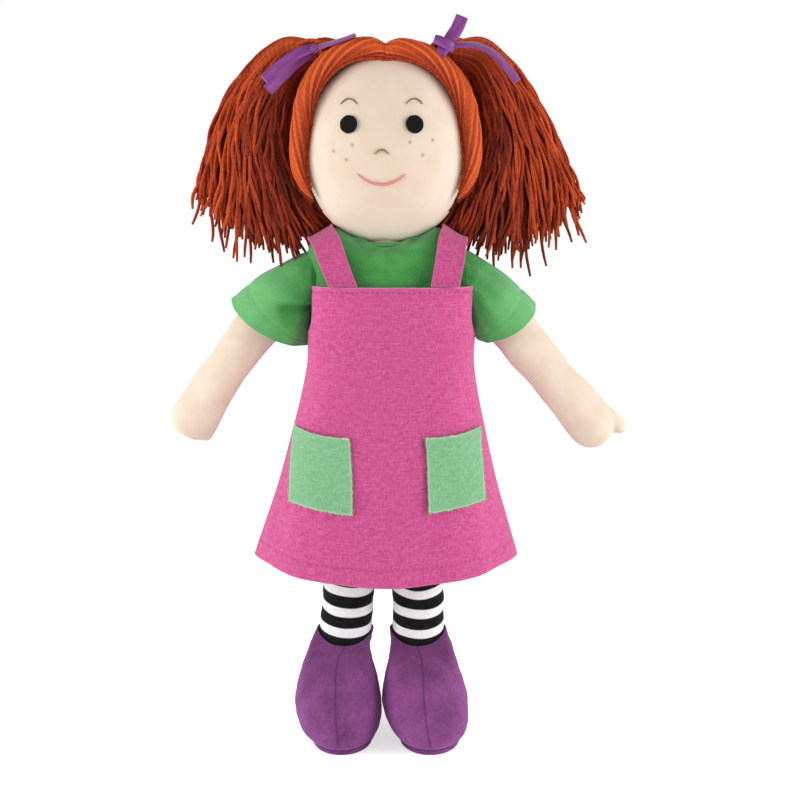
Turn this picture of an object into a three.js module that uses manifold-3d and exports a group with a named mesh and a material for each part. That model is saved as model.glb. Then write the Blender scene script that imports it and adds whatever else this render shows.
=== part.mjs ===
// A sewn rag doll with yarn pigtails, a T-shirt, a linen pinafore and soft boots.
// Millimetres. x runs to the doll's own left, y to its back and z up from the floor.
import * as THREE from "three";
import { mergeVertices } from "three/addons/utils/BufferGeometryUtils.js";
import Module from "manifold-3d";

const wasm = await Module();
wasm.setup();

// Driving sizes of cloth and seams
const seamGap = 0.3; // between two pieces that are sewn edge to edge
const layerGap = 0.35; // between two layers of cloth
const looseGap = 0.7; // between two layers that slide on each other
const seamWalls = 2; // a sewn flat end is this many walls thick
const seamHalfDepth = 0.2; // the least half depth of a flat end
const skinWall = 0.8; // cotton skin with its lining
const shirtWall = 0.8; // jersey
const dressWall = 1; // linen
const bootWall = 1; // suede cloth
const cutOverrun = 30; // how far a cutting shape runs past what it cuts
const originShift = -6.4; // from the doll's middle plane to the middle of its outer box

// Driving sizes of the body
const soleThickness = 2.2;
const bootHeight = 53;
const bootWidth = 41.6;
const bootLength = 65;
const bootSpacing = 21.3; // from the stance's middle to a boot's middle
const legSink = 4; // how deep a stocking ends inside its boot
const stanceShift = -2.3; // the feet stand a little to the doll's right
const legWidth = 25;
const legDepth = 24;
const legSpacing = 18;
const hipSpacing = 15.5;
const hipHeight = 118;
const hipStripHeight = 4;
const hipStripWidth = 60;
const hipStripThickness = 1.2;
const torsoHeight = 118.2;
const torsoWidth = 70;
const torsoDepth = 41;
const neckRadius = 12;
const neckOpeningRadius = 6;
const neckSeam = 1; // the neck's foot stands this much over the torso's dip
const shoulderRise = 6; // how far the shoulders stand over the neck's foot
const shoulderRiseReach = 26;
const neckPivotHeight = 247;
const neckSocketGap = 0.6;
const cheekHeight = 284; // where the head is widest
const headWidth = 79;
const headDepth = 62;
const headAboveCheek = 46;
const headBelowCheek = 43;
const faceShift = -1.6; // the features lie a little to the doll's right

// Driving sizes of the arms
const shoulderReach = 38.4; // from the middle plane to the shoulder seam
const shoulderHeight = 226;
const armLength = 101;
const armWidth = 21.5;
const armDepth = 18;
const flapRadius = 9.6;
const flapThickness = 1.2;
const flapReach = 1.4; // how far the flap stands out of the shoulder seam
const thumbRadius = 4.2;
const thumbLength = 10;
const thumbSplay = 4;

// Driving sizes of the hair
const hairThickness = 6;
const rollRadius = 4.8;
const rollSet = 13; // how far the hair's front edge lies before the head's middle
const partingGap = 0.6;
const tieReach = 38;
const tieHeight = 328.5;
const tieSet = 2; // how far the ties lie behind the head's middle
const rootRadius = 6.5;
const pigtailDrop = 88;
const ribbonWidth = 6;
const ribbonThickness = 0.8;
const wrapWidth = 2.4; // the ribbon is gathered where it goes round the hair

// Driving sizes of the clothes
const shirtHemHeight = 150;
const neckbandRadius = 15;
const neckbandThickness = 1.8;
const sleeveReach = 19.5; // how far the sleeve's hem lies outside its armhole
const sleeveFall = 17.5; // how far the hem's middle lies below the armhole's
const sleeveHemWidth = 35;
const sleeveHemDepth = 31;
const armholeHeight = 29;
const armholeDepth = 26;
const armholeDrop = 3; // from the shoulder seam down to the armhole's middle
const hemHeight = 90;
const hemSag = 7.4; // how far the hem's middle hangs under its sides
const bibHeight = 221;
const skirtWidth = 129.8;
const skirtDepth = 92;
const bibWidth = 80.8;
const bibDepth = 50.4;
const dressLean = 2.4; // the bib sits a little to the doll's left
const strapWidth = 13;
const strapInset = 27.6; // from the middle plane to a strap's middle at the bib
const strapSpread = 5; // how far a strap leans outwards at the shoulder
const strapTop = 246.4;
const strapTilt = 0.5; // across the shoulder, in radians
const pocketWidth = 28.5;
const pocketHeight = 36;
const pocketRiseShare = 0.5115; // of the dress front, from the hem up to the pocket mouths
const pocketShift = 1; // the pockets sit a little to the doll's left
const pocketInset = 31.9; // from the dress's middle to a pocket's middle
const pocketWall = 0.9;

// Degrees from hanging straight down, at the shoulder and at the hand
const leftArmLean = [41, 37];
const rightArmLean = [42, 29];

const sides = [
  { name: "left", sign: 1, armLean: leftArmLean, thumbSide: 1, thumbRoot: 0.9 },
  { name: "right", sign: -1, armLean: rightArmLean, thumbSide: -1, thumbRoot: 0.8 },
];

const finishes = {
  skin: { color: 0xf3dcc4, roughness: 0.9 },
  stuffing: { color: 0xf4f2ec, roughness: 1 },
  stocking: { color: 0xe9e9e9, roughness: 0.9 },
  suede: { color: 0x7d4389, roughness: 0.95 },
  yarn: { color: 0xc2431c, roughness: 0.95 },
  satin: { color: 0x95479d, roughness: 0.35 },
  jersey: { color: 0x3f9d4b, roughness: 0.9 },
  linen: { color: 0xd9569b, roughness: 0.92 },
  pocketLinen: { color: 0x84c78b, roughness: 0.92 },
  eyeFelt: { color: 0x22221f, roughness: 0.8 },
  browThread: { color: 0x54402c, roughness: 0.8 },
  lipThread: { color: 0xdc6f7e, roughness: 0.8 },
};

const doll = new THREE.Group();
doll.name = "rag_doll";
doll.position.x = originShift;

// Joining and cutting
function solidFrom(geometry) {
  const bare = geometry.clone();
  bare.deleteAttribute("normal");
  bare.deleteAttribute("uv");
  const merged = mergeVertices(bare, 1e-4);
  return new wasm.Manifold(
    new wasm.Mesh({
      numProp: 3,
      vertProperties: new Float32Array(merged.attributes.position.array),
      triVerts: new Uint32Array(merged.index.array),
    }),
  );
}

function geometryFrom(solid) {
  const mesh = solid.getMesh();
  const geometry = new THREE.BufferGeometry();
  geometry.setAttribute("position", new THREE.BufferAttribute(new Float32Array(mesh.vertProperties), 3));
  geometry.setIndex(new THREE.BufferAttribute(new Uint32Array(mesh.triVerts), 1));
  geometry.computeVertexNormals();
  return geometry;
}

function addPiece(name, shape, finish) {
  const geometry = shape.isBufferGeometry ? shape : geometryFrom(shape);
  const material = new THREE.MeshStandardMaterial({ ...finishes[finish], metalness: 0 });
  const mesh = new THREE.Mesh(geometry, material);
  mesh.name = name;
  doll.add(mesh);
}

// A closed skin through rings of equal count, with a fan over each end ring.
function loft(rings) {
  const count = rings[0].length;
  const points = rings.flat();
  const faces = [];
  for (let ring = 0; ring + 1 < rings.length; ring++) {
    for (let i = 0; i < count; i++) {
      const a = ring * count + i;
      const b = ring * count + ((i + 1) % count);
      faces.push(a, b, b + count, a, b + count, a + count);
    }
  }
  const middleOf = (ring) => ring.reduce((sum, p) => sum.add(p), new THREE.Vector3()).divideScalar(count);
  const first = points.push(middleOf(rings[0])) - 1;
  const last = points.push(middleOf(rings.at(-1))) - 1;
  const top = (rings.length - 1) * count;
  for (let i = 0; i < count; i++) {
    const next = (i + 1) % count;
    faces.push(first, next, i, last, top + i, top + next);
  }
  return facingOut(points, faces);
}

// A closed sheet between an outer and an inner grid of points, [row][column].
function sheet(outer, inner) {
  const rows = outer.length;
  const columns = outer[0].length;
  const points = [...outer.flat(), ...inner.flat()];
  const back = rows * columns;
  const faces = [];
  const quad = (a, b, c, d) => faces.push(a, b, c, a, c, d);
  for (let r = 0; r + 1 < rows; r++) {
    for (let c = 0; c + 1 < columns; c++) {
      const a = r * columns + c;
      quad(a, a + 1, a + 1 + columns, a + columns);
      quad(back + a, back + a + columns, back + a + 1 + columns, back + a + 1);
    }
    const left = r * columns;
    const right = left + columns - 1;
    quad(left, left + columns, back + left + columns, back + left);
    quad(right, back + right, back + right + columns, right + columns);
  }
  const topRow = (rows - 1) * columns;
  for (let c = 0; c + 1 < columns; c++) {
    quad(c, back + c, back + c + 1, c + 1);
    quad(topRow + c, topRow + c + 1, back + topRow + c + 1, back + topRow + c);
  }
  return facingOut(points, faces);
}

// The geometry of points and faces, turned so that its faces point outwards.
function facingOut(points, faces) {
  let volume = 0;
  for (let i = 0; i < faces.length; i += 3) {
    const [a, b, c] = [points[faces[i]], points[faces[i + 1]], points[faces[i + 2]]];
    volume += a.dot(new THREE.Vector3().crossVectors(b, c));
  }
  const turned = volume < 0 ? faces.slice().reverse() : faces;
  const geometry = new THREE.BufferGeometry().setFromPoints(points);
  geometry.setIndex(turned);
  geometry.computeVertexNormals();
  return geometry;
}

// The point of a superellipse with the two half axes, at an angle.
function squaredRound(angle, halfWidth, halfDepth, power) {
  const along = Math.sin(angle);
  const across = Math.cos(angle);
  const bend = 2 / power;
  return [
    halfWidth * Math.sign(along) * Math.abs(along) ** bend,
    -halfDepth * Math.sign(across) * Math.abs(across) ** bend,
  ];
}

// A ring of points about a centre, spread along two directions.
function ringAt(centre, widthWay, depthWay, halfWidth, halfDepth, count, power = 2) {
  const ring = [];
  for (let i = 0; i < count; i++) {
    const [w, d] = squaredRound((i / count) * 2 * Math.PI, halfWidth, halfDepth, power);
    ring.push(centre.clone().addScaledVector(widthWay, w).addScaledVector(depthWay, d));
  }
  return ring;
}

// The four corners of a flat band's section.
function bandRing(centre, widthWay, depthWay, halfWidth, halfDepth) {
  return [[1, 1], [-1, 1], [-1, -1], [1, -1]].map(([w, d]) =>
    centre.clone().addScaledVector(widthWay, halfWidth * w).addScaledVector(depthWay, halfDepth * d),
  );
}

// Rows of shares, smoothed by a curve through them. Each row holds up to three shares.
function smoothShares(rows, steps) {
  const curve = new THREE.CatmullRomCurve3(rows.map((row) => new THREE.Vector3(...row)));
  return curve.getPoints(steps).map((p) => [p.x, p.y, p.z]);
}

// The row of smoothed shares at a share of the height, between its two neighbours.
function rowAt(rows, share) {
  const above = Math.max(1, rows.findIndex(([at]) => at >= share));
  const [low, high] = [rows[above - 1], rows[above]];
  const part = (share - low[0]) / (high[0] - low[0]);
  return low.map((value, i) => THREE.MathUtils.lerp(value, high[i], part));
}

const right = new THREE.Vector3(1, 0, 0);
const back = new THREE.Vector3(0, 1, 0);

// A body of level rings: each row has shares of the height, the half width and the half depth.
function levelBody({ shares, foot, height, width, depth, grow, steps, count, power, drift, rise }) {
  const rings = smoothShares(shares, steps).map(([heightShare, widthShare, depthShare]) => {
    const [x, y] = drift ? drift(heightShare) : [0, 0];
    const centre = new THREE.Vector3(x, y, foot + height * heightShare);
    const halfWidth = (width / 2) * widthShare + grow;
    const halfDepth = Math.max((depth / 2) * depthShare + grow, seamHalfDepth);
    const ring = ringAt(centre, right, back, halfWidth, halfDepth, count, power);
    if (rise) ring.forEach((p) => (p.z += rise(p.x, heightShare)));
    return ring;
  });
  return solidFrom(loft(rings));
}

function block(fromX, toX, fromY, toY, fromZ, toZ) {
  const geometry = new THREE.BoxGeometry(toX - fromX, toY - fromY, toZ - fromZ);
  geometry.translate((fromX + toX) / 2, (fromY + toY) / 2, (fromZ + toZ) / 2);
  return solidFrom(geometry);
}

// Torso: a flat seam at the hips, full at the belly, rounded shoulders
const torsoFoot = hipHeight + hipStripHeight / 2 + seamGap;
const torsoTop = torsoFoot + torsoHeight;
const torsoShares = [
  [0, 0.84, 0.05],
  [0.04, 0.9, 0.26],
  [0.1, 0.95, 0.54],
  [0.2, 0.98, 0.84],
  [0.4, 0.99, 1],
  [0.65, 1, 1],
  [0.84, 1, 0.97],
  [0.92, 0.98, 0.9],
  [0.97, 0.89, 0.67],
  [1, 0.75, 0.44],
  [1, 0.4, 0.38],
];
const torsoPower = 2.5;
const riseFromShare = 0.86; // of the body's height, where the shoulders start to rise

// How much higher the top lies at a reach from the middle plane, beside the dip for the neck.
function shoulderRiseAt(x, heightShare) {
  const outwards = Math.min(Math.abs(x) / shoulderRiseReach, 1);
  return shoulderRise * outwards ** 3 * THREE.MathUtils.smoothstep(heightShare, riseFromShare, 1);
}

function torsoBody(inset) {
  return levelBody({
    shares: torsoShares,
    foot: torsoFoot + seamWalls * inset,
    height: torsoHeight - seamWalls * inset - inset,
    width: torsoWidth,
    depth: torsoDepth,
    grow: -inset,
    steps: 11,
    count: 16,
    power: torsoPower,
    rise: shoulderRiseAt,
  });
}

// The slot in the side seam that holds a shoulder flap, round about the shoulder seam.
function shoulderSlot(sign) {
  const slot = new THREE.CylinderGeometry(
    flapRadius + layerGap,
    flapRadius + layerGap,
    flapThickness + 2 * layerGap,
    16,
  );
  slot.translate(sign * shoulderReach, 0, 0);
  return solidFrom(slot).translate(0, 0, shoulderHeight);
}

function neckBall(radius) {
  const ball = new THREE.SphereGeometry(radius, 14, 9);
  ball.rotateX(Math.PI / 2);
  ball.translate(0, 0, neckPivotHeight);
  return solidFrom(ball);
}

const neckOpening = solidFrom(
  new THREE.CylinderGeometry(neckOpeningRadius, neckOpeningRadius, cutOverrun, 12)
    .rotateX(Math.PI / 2)
    .translate(0, 0, torsoTop),
);
let torsoSkin = torsoBody(0).subtract(torsoBody(skinWall)).subtract(neckOpening);
let torsoStuffing = torsoBody(skinWall + layerGap);
for (const side of sides) {
  torsoSkin = torsoSkin.subtract(shoulderSlot(side.sign));
  torsoStuffing = torsoStuffing.subtract(shoulderSlot(side.sign));
}
addPiece("torso_skin", torsoSkin, "skin");
addPiece("torso_stuffing", torsoStuffing, "stuffing");

// Neck: a short stuffed stub whose round top fills the head's socket
const neckFoot = torsoTop + neckSeam;
const neck = neckBall(neckRadius).subtract(
  block(-cutOverrun, cutOverrun, -cutOverrun, cutOverrun, neckPivotHeight - cutOverrun, neckFoot),
);
addPiece("neck", neck, "skin");

// Head: an egg, flatter from front to back, with a socket for the neck
function headEgg(grow) {
  const egg = new THREE.SphereGeometry(1, 18, 13);
  egg.rotateX(Math.PI / 2);
  const place = egg.attributes.position;
  for (let i = 0; i < place.count; i++) {
    const up = place.getZ(i);
    const halfHeight = up > 0 ? headAboveCheek : headBelowCheek;
    place.setXYZ(
      i,
      place.getX(i) * (headWidth / 2 + grow),
      place.getY(i) * (headDepth / 2 + grow),
      cheekHeight + up * (halfHeight + grow),
    );
  }
  return solidFrom(egg);
}

const neckSocket = neckBall(neckRadius + neckSocketGap);
addPiece("head_skin", headEgg(0).subtract(headEgg(-skinWall)).subtract(neckSocket), "skin");
const headStuffing = headEgg(-skinWall - layerGap).subtract(neckSocket);
addPiece("head_stuffing", headStuffing, "stuffing");

// The face's front at a place of the egg, lifted off it by a gap
function faceFront(x, z, lift) {
  const halfHeight = z > cheekHeight ? headAboveCheek : headBelowCheek;
  const up = (z - cheekHeight) / halfHeight;
  const acrossShare = x / (headWidth / 2);
  const depthShare = Math.sqrt(Math.max(0, 1 - up * up - acrossShare * acrossShare));
  return new THREE.Vector3(x, (-headDepth / 2) * depthShare - lift, z);
}

function faceNormal(x, z) {
  const halfHeight = z > cheekHeight ? headAboveCheek : headBelowCheek;
  const spot = faceFront(x, z, 0);
  return new THREE.Vector3(
    spot.x / (headWidth / 2) ** 2,
    spot.y / (headDepth / 2) ** 2,
    (spot.z - cheekHeight) / halfHeight ** 2,
  ).normalize();
}

// Eyes: two round felt discs
const eyeRadius = 4.2;
const eyeThickness = 0.9;
const eyeReach = 15;
const eyeHeight = 296;
for (const side of sides) {
  const x = faceShift + side.sign * eyeReach;
  const normal = faceNormal(x, eyeHeight);
  const disc = new THREE.CylinderGeometry(eyeRadius, eyeRadius, eyeThickness, 16);
  const turn = new THREE.Quaternion().setFromUnitVectors(back, normal);
  const lift = layerGap + eyeThickness / 2;
  const spot = faceFront(x, eyeHeight, 0).addScaledVector(normal, lift);
  disc.applyQuaternion(turn).translate(spot.x, spot.y, spot.z);
  addPiece("eye_" + side.name, disc, "eyeFelt");
}

// A stitched line on the face: an arc of some width and rise, as a thin tube
function faceStitch(middleX, height, width, rise, thickness, steps) {
  const lift = layerGap + thickness / 2;
  const points = [];
  for (let i = 0; i <= steps; i++) {
    const along = (2 * i) / steps - 1;
    const x = middleX + (along * width) / 2;
    const z = height + rise * (1 - along * along);
    points.push(faceFront(x, z, lift));
  }
  const path = new THREE.CatmullRomCurve3(points);
  const section = new THREE.Shape();
  section.absarc(0, 0, thickness / 2, 0, 2 * Math.PI);
  const run = { steps, extrudePath: path, curveSegments: 2, bevelEnabled: false };
  return new THREE.ExtrudeGeometry(section, run);
}

const stitchThickness = 0.8;
const browWidth = 7.4;
const browRise = 2.4;
const browHeight = 305.2;
const noseWidth = 6.2;
const noseRise = 2.2;
const noseHeight = 282.4;
const mouthWidth = 22.5;
const mouthDrop = 4.8;
const mouthHeight = 273.6;
const lipThickness = 1.1;
for (const side of sides) {
  const middleX = faceShift + side.sign * eyeReach;
  const brow = faceStitch(middleX, browHeight, browWidth, browRise, stitchThickness, 6);
  addPiece("brow_" + side.name, brow, "browThread");
}
const nose = faceStitch(faceShift, noseHeight, noseWidth, noseRise, stitchThickness, 6);
addPiece("nose_stitch", nose, "browThread");
const mouth = faceStitch(faceShift, mouthHeight, mouthWidth, -mouthDrop, lipThickness, 10);
addPiece("mouth_stitch", mouth, "lipThread");

// Hair roll: the puffed front edge of the yarn wig, from the parting to the cheek
const rollStartAngle = 0.05;
const rollEndAngle = 2.08;
const rollShares = [
  [0, 0.62, 0],
  [0.06, 0.95, 0],
  [0.2, 1, 0],
  [0.72, 0.97, 0],
  [0.88, 0.72, 0],
  [1, 0.22, 0],
];

// A place of the head's outline before its middle, by the angle from the crown.
function hairlinePoint(sign, angle, lift) {
  const shrink = Math.sqrt(1 - (rollSet / (headDepth / 2)) ** 2);
  const halfWidth = (headWidth / 2) * shrink + lift;
  const halfHeight = (Math.cos(angle) > 0 ? headAboveCheek : headBelowCheek) * shrink + lift;
  return new THREE.Vector3(
    sign * halfWidth * Math.sin(angle),
    -rollSet,
    cheekHeight + halfHeight * Math.cos(angle),
  );
}

for (const side of sides) {
  const rings = smoothShares(rollShares, 11).map(([along, thick]) => {
    const angle = rollStartAngle + (rollEndAngle - rollStartAngle) * along;
    const radius = rollRadius * thick;
    const seat = hairlinePoint(side.sign, angle, 0);
    const outwards = hairlinePoint(side.sign, angle, rollRadius).sub(seat).normalize();
    const lift = radius + layerGap + seamGap;
    const centre = seat.clone().addScaledVector(outwards, lift);
    centre.y -= lift / 3;
    return ringAt(centre, outwards, back, radius, radius, 8);
  });
  addPiece("hair_roll_" + side.name, loft(rings), "yarn");
}

// Hair cap: the yarn over the head behind the roll, in two halves at the parting,
// with a gathered stub that ends in a seat for the pigtail's round root
const capFront = -rollSet + rollRadius + seamGap;
const capCheekHeight = 268;
const napeHeight = 262;
const stubRadius = 5;
const capShell = headEgg(hairThickness + layerGap);
const capHollow = headEgg(layerGap);
for (const side of sides) {
  const tie = new THREE.Vector3(side.sign * tieReach, tieSet, tieHeight);
  const middle = new THREE.Vector3(0, 0, cheekHeight);
  const stubLength = tie.distanceTo(middle);
  const stub = new THREE.CylinderGeometry(stubRadius, stubRadius, stubLength, 8);
  const way = tie.clone().sub(middle).normalize();
  stub.applyQuaternion(new THREE.Quaternion().setFromUnitVectors(back, way));
  const halfWay = tie.clone().add(middle).divideScalar(2);
  stub.translate(halfWay.x, halfWay.y, halfWay.z);
  const seat = new THREE.SphereGeometry(rootRadius + layerGap, 10, 7).translate(tie.x, tie.y, tie.z);
  const crown = cheekHeight + headAboveCheek + cutOverrun;
  const outline = new THREE.Shape();
  outline.moveTo(capFront, capCheekHeight);
  outline.lineTo(headDepth, napeHeight);
  outline.lineTo(headDepth, crown);
  outline.lineTo(capFront, crown);
  const keep = new THREE.ExtrudeGeometry(outline, { depth: headWidth, bevelEnabled: false });
  // The outline's first axis becomes y and its second z, and the depth runs along x.
  keep.applyMatrix4(new THREE.Matrix4().set(0, 0, 1, 0, 1, 0, 0, 0, 0, 1, 0, 0, 0, 0, 0, 1));
  keep.translate(side.sign > 0 ? partingGap / 2 : -partingGap / 2 - headWidth, 0, 0);
  const shell = capShell.add(solidFrom(stub)).subtract(capHollow);
  addPiece("hair_cap_" + side.name, shell.subtract(solidFrom(seat)).intersect(solidFrom(keep)), "yarn");
}

// Pigtail: a round gathered root, then a wide fan that hangs beside the head.
// Each row has shares of the fan's reach and drop for its inner and outer edge, and its depth.
const pigtailReach = 52;
const pigtailDepth = 31;
const pigtailShares = [
  [0, 0.045, 0.06, -0.025, 0.26],
  [0.12, 0.1, 0.28, -0.04, 0.5],
  [0.19, 0.24, 0.57, 0.13, 0.84],
  [0.21, 0.42, 0.8, 0.34, 0.97],
  [0.19, 0.6, 0.92, 0.58, 1],
  [0.13, 0.78, 1.03, 0.77, 0.95],
  [0.11, 0.9, 0.98, 0.92, 0.72],
  [0.2, 0.99, 0.82, 1.01, 0.4],
];

function pigtailRings(sign) {
  const inner = smoothShares(pigtailShares.map(([x, z, , , deep]) => [x, z, deep]), 10);
  const outer = smoothShares(pigtailShares.map(([, , x, z, deep]) => [x, z, deep]), 10);
  return inner.map(([innerX, innerZ, deep], i) => {
    const [outerX, outerZ] = outer[i];
    const edge = (x, z) =>
      new THREE.Vector3(sign * (tieReach + pigtailReach * x), tieSet, tieHeight - pigtailDrop * z);
    const from = edge(innerX, innerZ);
    const to = edge(outerX, outerZ);
    const centre = from.clone().add(to).divideScalar(2);
    const across = to.clone().sub(from);
    const halfWidth = across.length() / 2;
    return ringAt(centre, across.normalize(), back, halfWidth, (pigtailDepth / 2) * deep, 12);
  });
}

for (const side of sides) {
  const root = new THREE.SphereGeometry(rootRadius, 10, 7);
  root.translate(side.sign * tieReach, tieSet, tieHeight);
  const fan = solidFrom(loft(pigtailRings(side.sign)));
  addPiece("pigtail_" + side.name, solidFrom(root).add(fan), "yarn");
}

// Ribbon: one satin strip round the root, with a knot before it and two tails.
// A tail runs from the knot through points given as shares of its length.
const knotRadius = 3.6;
const tailLength = 30;
const tailSteps = 4;
const ribbonShares = {
  left: [
    [[0, 0, 0], [0.1, -0.16, 0.2], [0.3, -0.2, 0.44]],
    [[0, 0, 0], [0.3, -0.2, 0.1], [0.62, -0.24, 0], [0.94, -0.3, -0.32], [1.12, -0.34, -0.5]],
    [[0, 0, 0], [-0.07, -0.16, -0.1], [-0.1, -0.2, -0.24]],
  ],
  right: [
    [[0, 0, 0], [0.3, -0.18, -0.08], [0.62, -0.3, -0.3], [0.72, -0.34, -0.5]],
    [[0, 0, 0], [-0.26, -0.1, 0.12], [-0.72, -0.06, 0.3]],
  ],
};
const wrapLean = 0.33; // of the wrap's own axis, in radians above level

for (const side of sides) {
  const tie = new THREE.Vector3(side.sign * tieReach, tieSet, tieHeight);
  const knotPlace = tie.clone();
  knotPlace.y -= rootRadius + looseGap + knotRadius;
  const knot = new THREE.SphereGeometry(knotRadius, 8, 6).translate(knotPlace.x, knotPlace.y, knotPlace.z);
  const wrapInner = rootRadius + looseGap;
  const wrapOuter = wrapInner + ribbonThickness;
  const wrapProfile = [
    new THREE.Vector2(wrapInner, -wrapWidth / 2),
    new THREE.Vector2(wrapOuter, -wrapWidth / 2),
    new THREE.Vector2(wrapOuter, wrapWidth / 2),
    new THREE.Vector2(wrapInner, wrapWidth / 2),
    new THREE.Vector2(wrapInner, -wrapWidth / 2),
  ];
  const wrapWay = new THREE.Vector3(side.sign * Math.cos(wrapLean), 0, Math.sin(wrapLean));
  const wrap = new THREE.LatheGeometry(wrapProfile, 14);
  wrap.applyQuaternion(new THREE.Quaternion().setFromUnitVectors(back, wrapWay));
  wrap.translate(tie.x, tie.y, tie.z);
  let ribbon = solidFrom(wrap).add(solidFrom(knot));
  for (const shares of ribbonShares[side.name]) {
    const places = shares.map(([x, y, z]) =>
      knotPlace.clone().add(new THREE.Vector3(side.sign * x, y, z).multiplyScalar(tailLength)),
    );
    const path = new THREE.CatmullRomCurve3(places);
    const rings = path.getPoints(tailSteps).map((centre, i) => {
      const way = path.getTangent(i / tailSteps);
      const across = new THREE.Vector3().crossVectors(way, back).normalize();
      return bandRing(centre, across, back, ribbonWidth / 2, ribbonThickness / 2);
    });
    ribbon = ribbon.add(solidFrom(loft(rings)));
  }
  addPiece("ribbon_" + side.name, ribbon, "satin");
}

// T-shirt: a jersey tube over the torso with square shoulders, cut for the neck and the arms
const shirtInset = layerGap + shirtWall;
const shirtTop = torsoTop + shirtInset;
const shirtWidth = torsoWidth + 2 * shirtInset;
const shirtDepth = torsoDepth + 2 * shirtInset;
const shirtShares = [
  [0, 1, 1],
  [0.5, 1, 1],
  [0.8, 1.01, 0.98],
  [0.92, 1.03, 0.92],
  [0.97, 0.96, 0.75],
  [1, 0.79, 0.52],
  [1, 0.42, 0.42],
];
const shirtNeckRadius = neckRadius + shirtWall;
const shirtRiseShare = 1.2; // the shirt's shoulders stand over the torso's

function shirtRiseAt(x, heightShare) {
  return shirtRiseShare * shoulderRiseAt(x, heightShare);
}

const armholeCentre = shoulderHeight - armholeDrop;
const armholeInset = 4; // the sleeve covers the armhole's edge by this

function shirtBody(inset, overrun) {
  return levelBody({
    shares: shirtShares,
    foot: shirtHemHeight - overrun,
    height: shirtTop - shirtHemHeight - inset + overrun,
    width: shirtWidth,
    depth: shirtDepth,
    grow: -inset,
    steps: 9,
    count: 16,
    power: torsoPower,
    rise: shirtRiseAt,
  });
}

const shirtNeck = solidFrom(
  new THREE.CylinderGeometry(shirtNeckRadius, shirtNeckRadius, cutOverrun, 16)
    .rotateX(Math.PI / 2)
    .translate(0, 0, torsoTop),
);
const armholeCut = solidFrom(
  new THREE.CylinderGeometry(1, 1, 1, 14)
    .rotateZ(Math.PI / 2)
    .scale(torsoWidth + cutOverrun, (armholeDepth - armholeInset) / 2, (armholeHeight - armholeInset) / 2)
    .translate(0, 0, armholeCentre),
);
const shirtShell = shirtBody(0, 0).subtract(shirtBody(shirtWall, shirtWall));
addPiece("shirt_body", shirtShell.subtract(shirtNeck).subtract(armholeCut), "jersey");

const neckbandHeight = shirtTop + looseGap + neckbandThickness / 2;
const neckband = new THREE.TorusGeometry(neckbandRadius, neckbandThickness / 2, 5, 18);
const neckbandPlaces = neckband.attributes.position;
for (let i = 0; i < neckbandPlaces.count; i++) {
  const rise = shirtRiseAt(neckbandPlaces.getX(i), 1);
  neckbandPlaces.setZ(i, neckbandPlaces.getZ(i) + neckbandHeight + rise);
}
addPiece("shirt_neckband", neckband, "jersey");

// Sleeve: from an upright armhole to a wide slanting hem whose front and back hang lower
const sleeveHemDrop = 6.5;
const sleeveSlant = 0.53; // of the hem, in radians from level
const sleeveStand = 2; // how far the armhole stands out of the shirt's side

function sleeveRings(sign, inset, overrun) {
  const startX = sign * (shirtWidth / 2 + sleeveStand);
  const start = new THREE.Vector3(startX, 0, armholeCentre);
  const run = new THREE.Vector3(sign * sleeveReach, 0, -sleeveFall);
  const down = new THREE.Vector3(sign * Math.sin(sleeveSlant), 0, -Math.cos(sleeveSlant));
  const across = new THREE.Vector3(sign * Math.cos(sleeveSlant), 0, Math.sin(sleeveSlant));
  const upright = new THREE.Vector3(0, 0, 1);
  const steps = 3;
  const rings = [];
  for (let i = 0; i <= steps; i++) {
    const share = i / steps;
    const centre = start.clone().addScaledVector(run, share);
    if (i === 0) centre.x -= sign * overrun;
    if (i === steps) centre.addScaledVector(down, overrun);
    const widthWay = upright.clone().lerp(across, share).normalize();
    const halfWidth = THREE.MathUtils.lerp(armholeHeight, sleeveHemWidth, share) / 2 - inset;
    const halfDepth = THREE.MathUtils.lerp(armholeDepth, sleeveHemDepth, share) / 2 - inset;
    const ring = ringAt(centre, widthWay, back, halfWidth, halfDepth, 16);
    ring.forEach((p) => p.addScaledVector(down, sleeveHemDrop * share * Math.abs(p.y / halfDepth)));
    rings.push(ring);
  }
  return rings;
}

for (const side of sides) {
  const outer = solidFrom(loft(sleeveRings(side.sign, 0, 0)));
  const inner = solidFrom(loft(sleeveRings(side.sign, shirtWall, shirtWall)));
  addPiece("shirt_sleeve_" + side.name, outer.subtract(inner), "jersey");
}

// A block at shoulder height that runs outwards from a reach.
function shoulderBlock(sign, reach, length, halfDepth, halfHeight) {
  const [from, to] = [sign * reach, sign * (reach + length)];
  const bottom = shoulderHeight - halfHeight;
  const top = shoulderHeight + halfHeight;
  return block(Math.min(from, to), Math.max(from, to), -halfDepth, halfDepth, bottom, top);
}

// Shoulder flap: the unstuffed end of the arm, sewn into the torso's side seam
for (const side of sides) {
  const flap = new THREE.CylinderGeometry(flapRadius, flapRadius, flapThickness, 16);
  flap.translate(side.sign * shoulderReach, 0, 0);
  const beyond = shoulderBlock(side.sign, shoulderReach + flapReach, cutOverrun, cutOverrun, cutOverrun);
  const disc = solidFrom(flap).translate(0, 0, shoulderHeight);
  addPiece("shoulder_flap_" + side.name, disc.subtract(beyond), "skin");
}

// Arm: a stuffed tube that starts flat at the flap and bends a little, with a mitten hand.
// Each row has shares of the length, the half width and the half depth.
const armShares = [
  [0, 0.76, 0.14],
  [0.05, 0.82, 0.4],
  [0.12, 0.92, 0.72],
  [0.24, 1, 0.94],
  [0.5, 0.97, 1],
  [0.76, 0.98, 0.96],
  [0.9, 1, 0.84],
  [0.965, 0.8, 0.62],
  [1, 0.42, 0.3],
];
const armTurnShare = 0.3; // where the arm's width has turned square to its length

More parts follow.
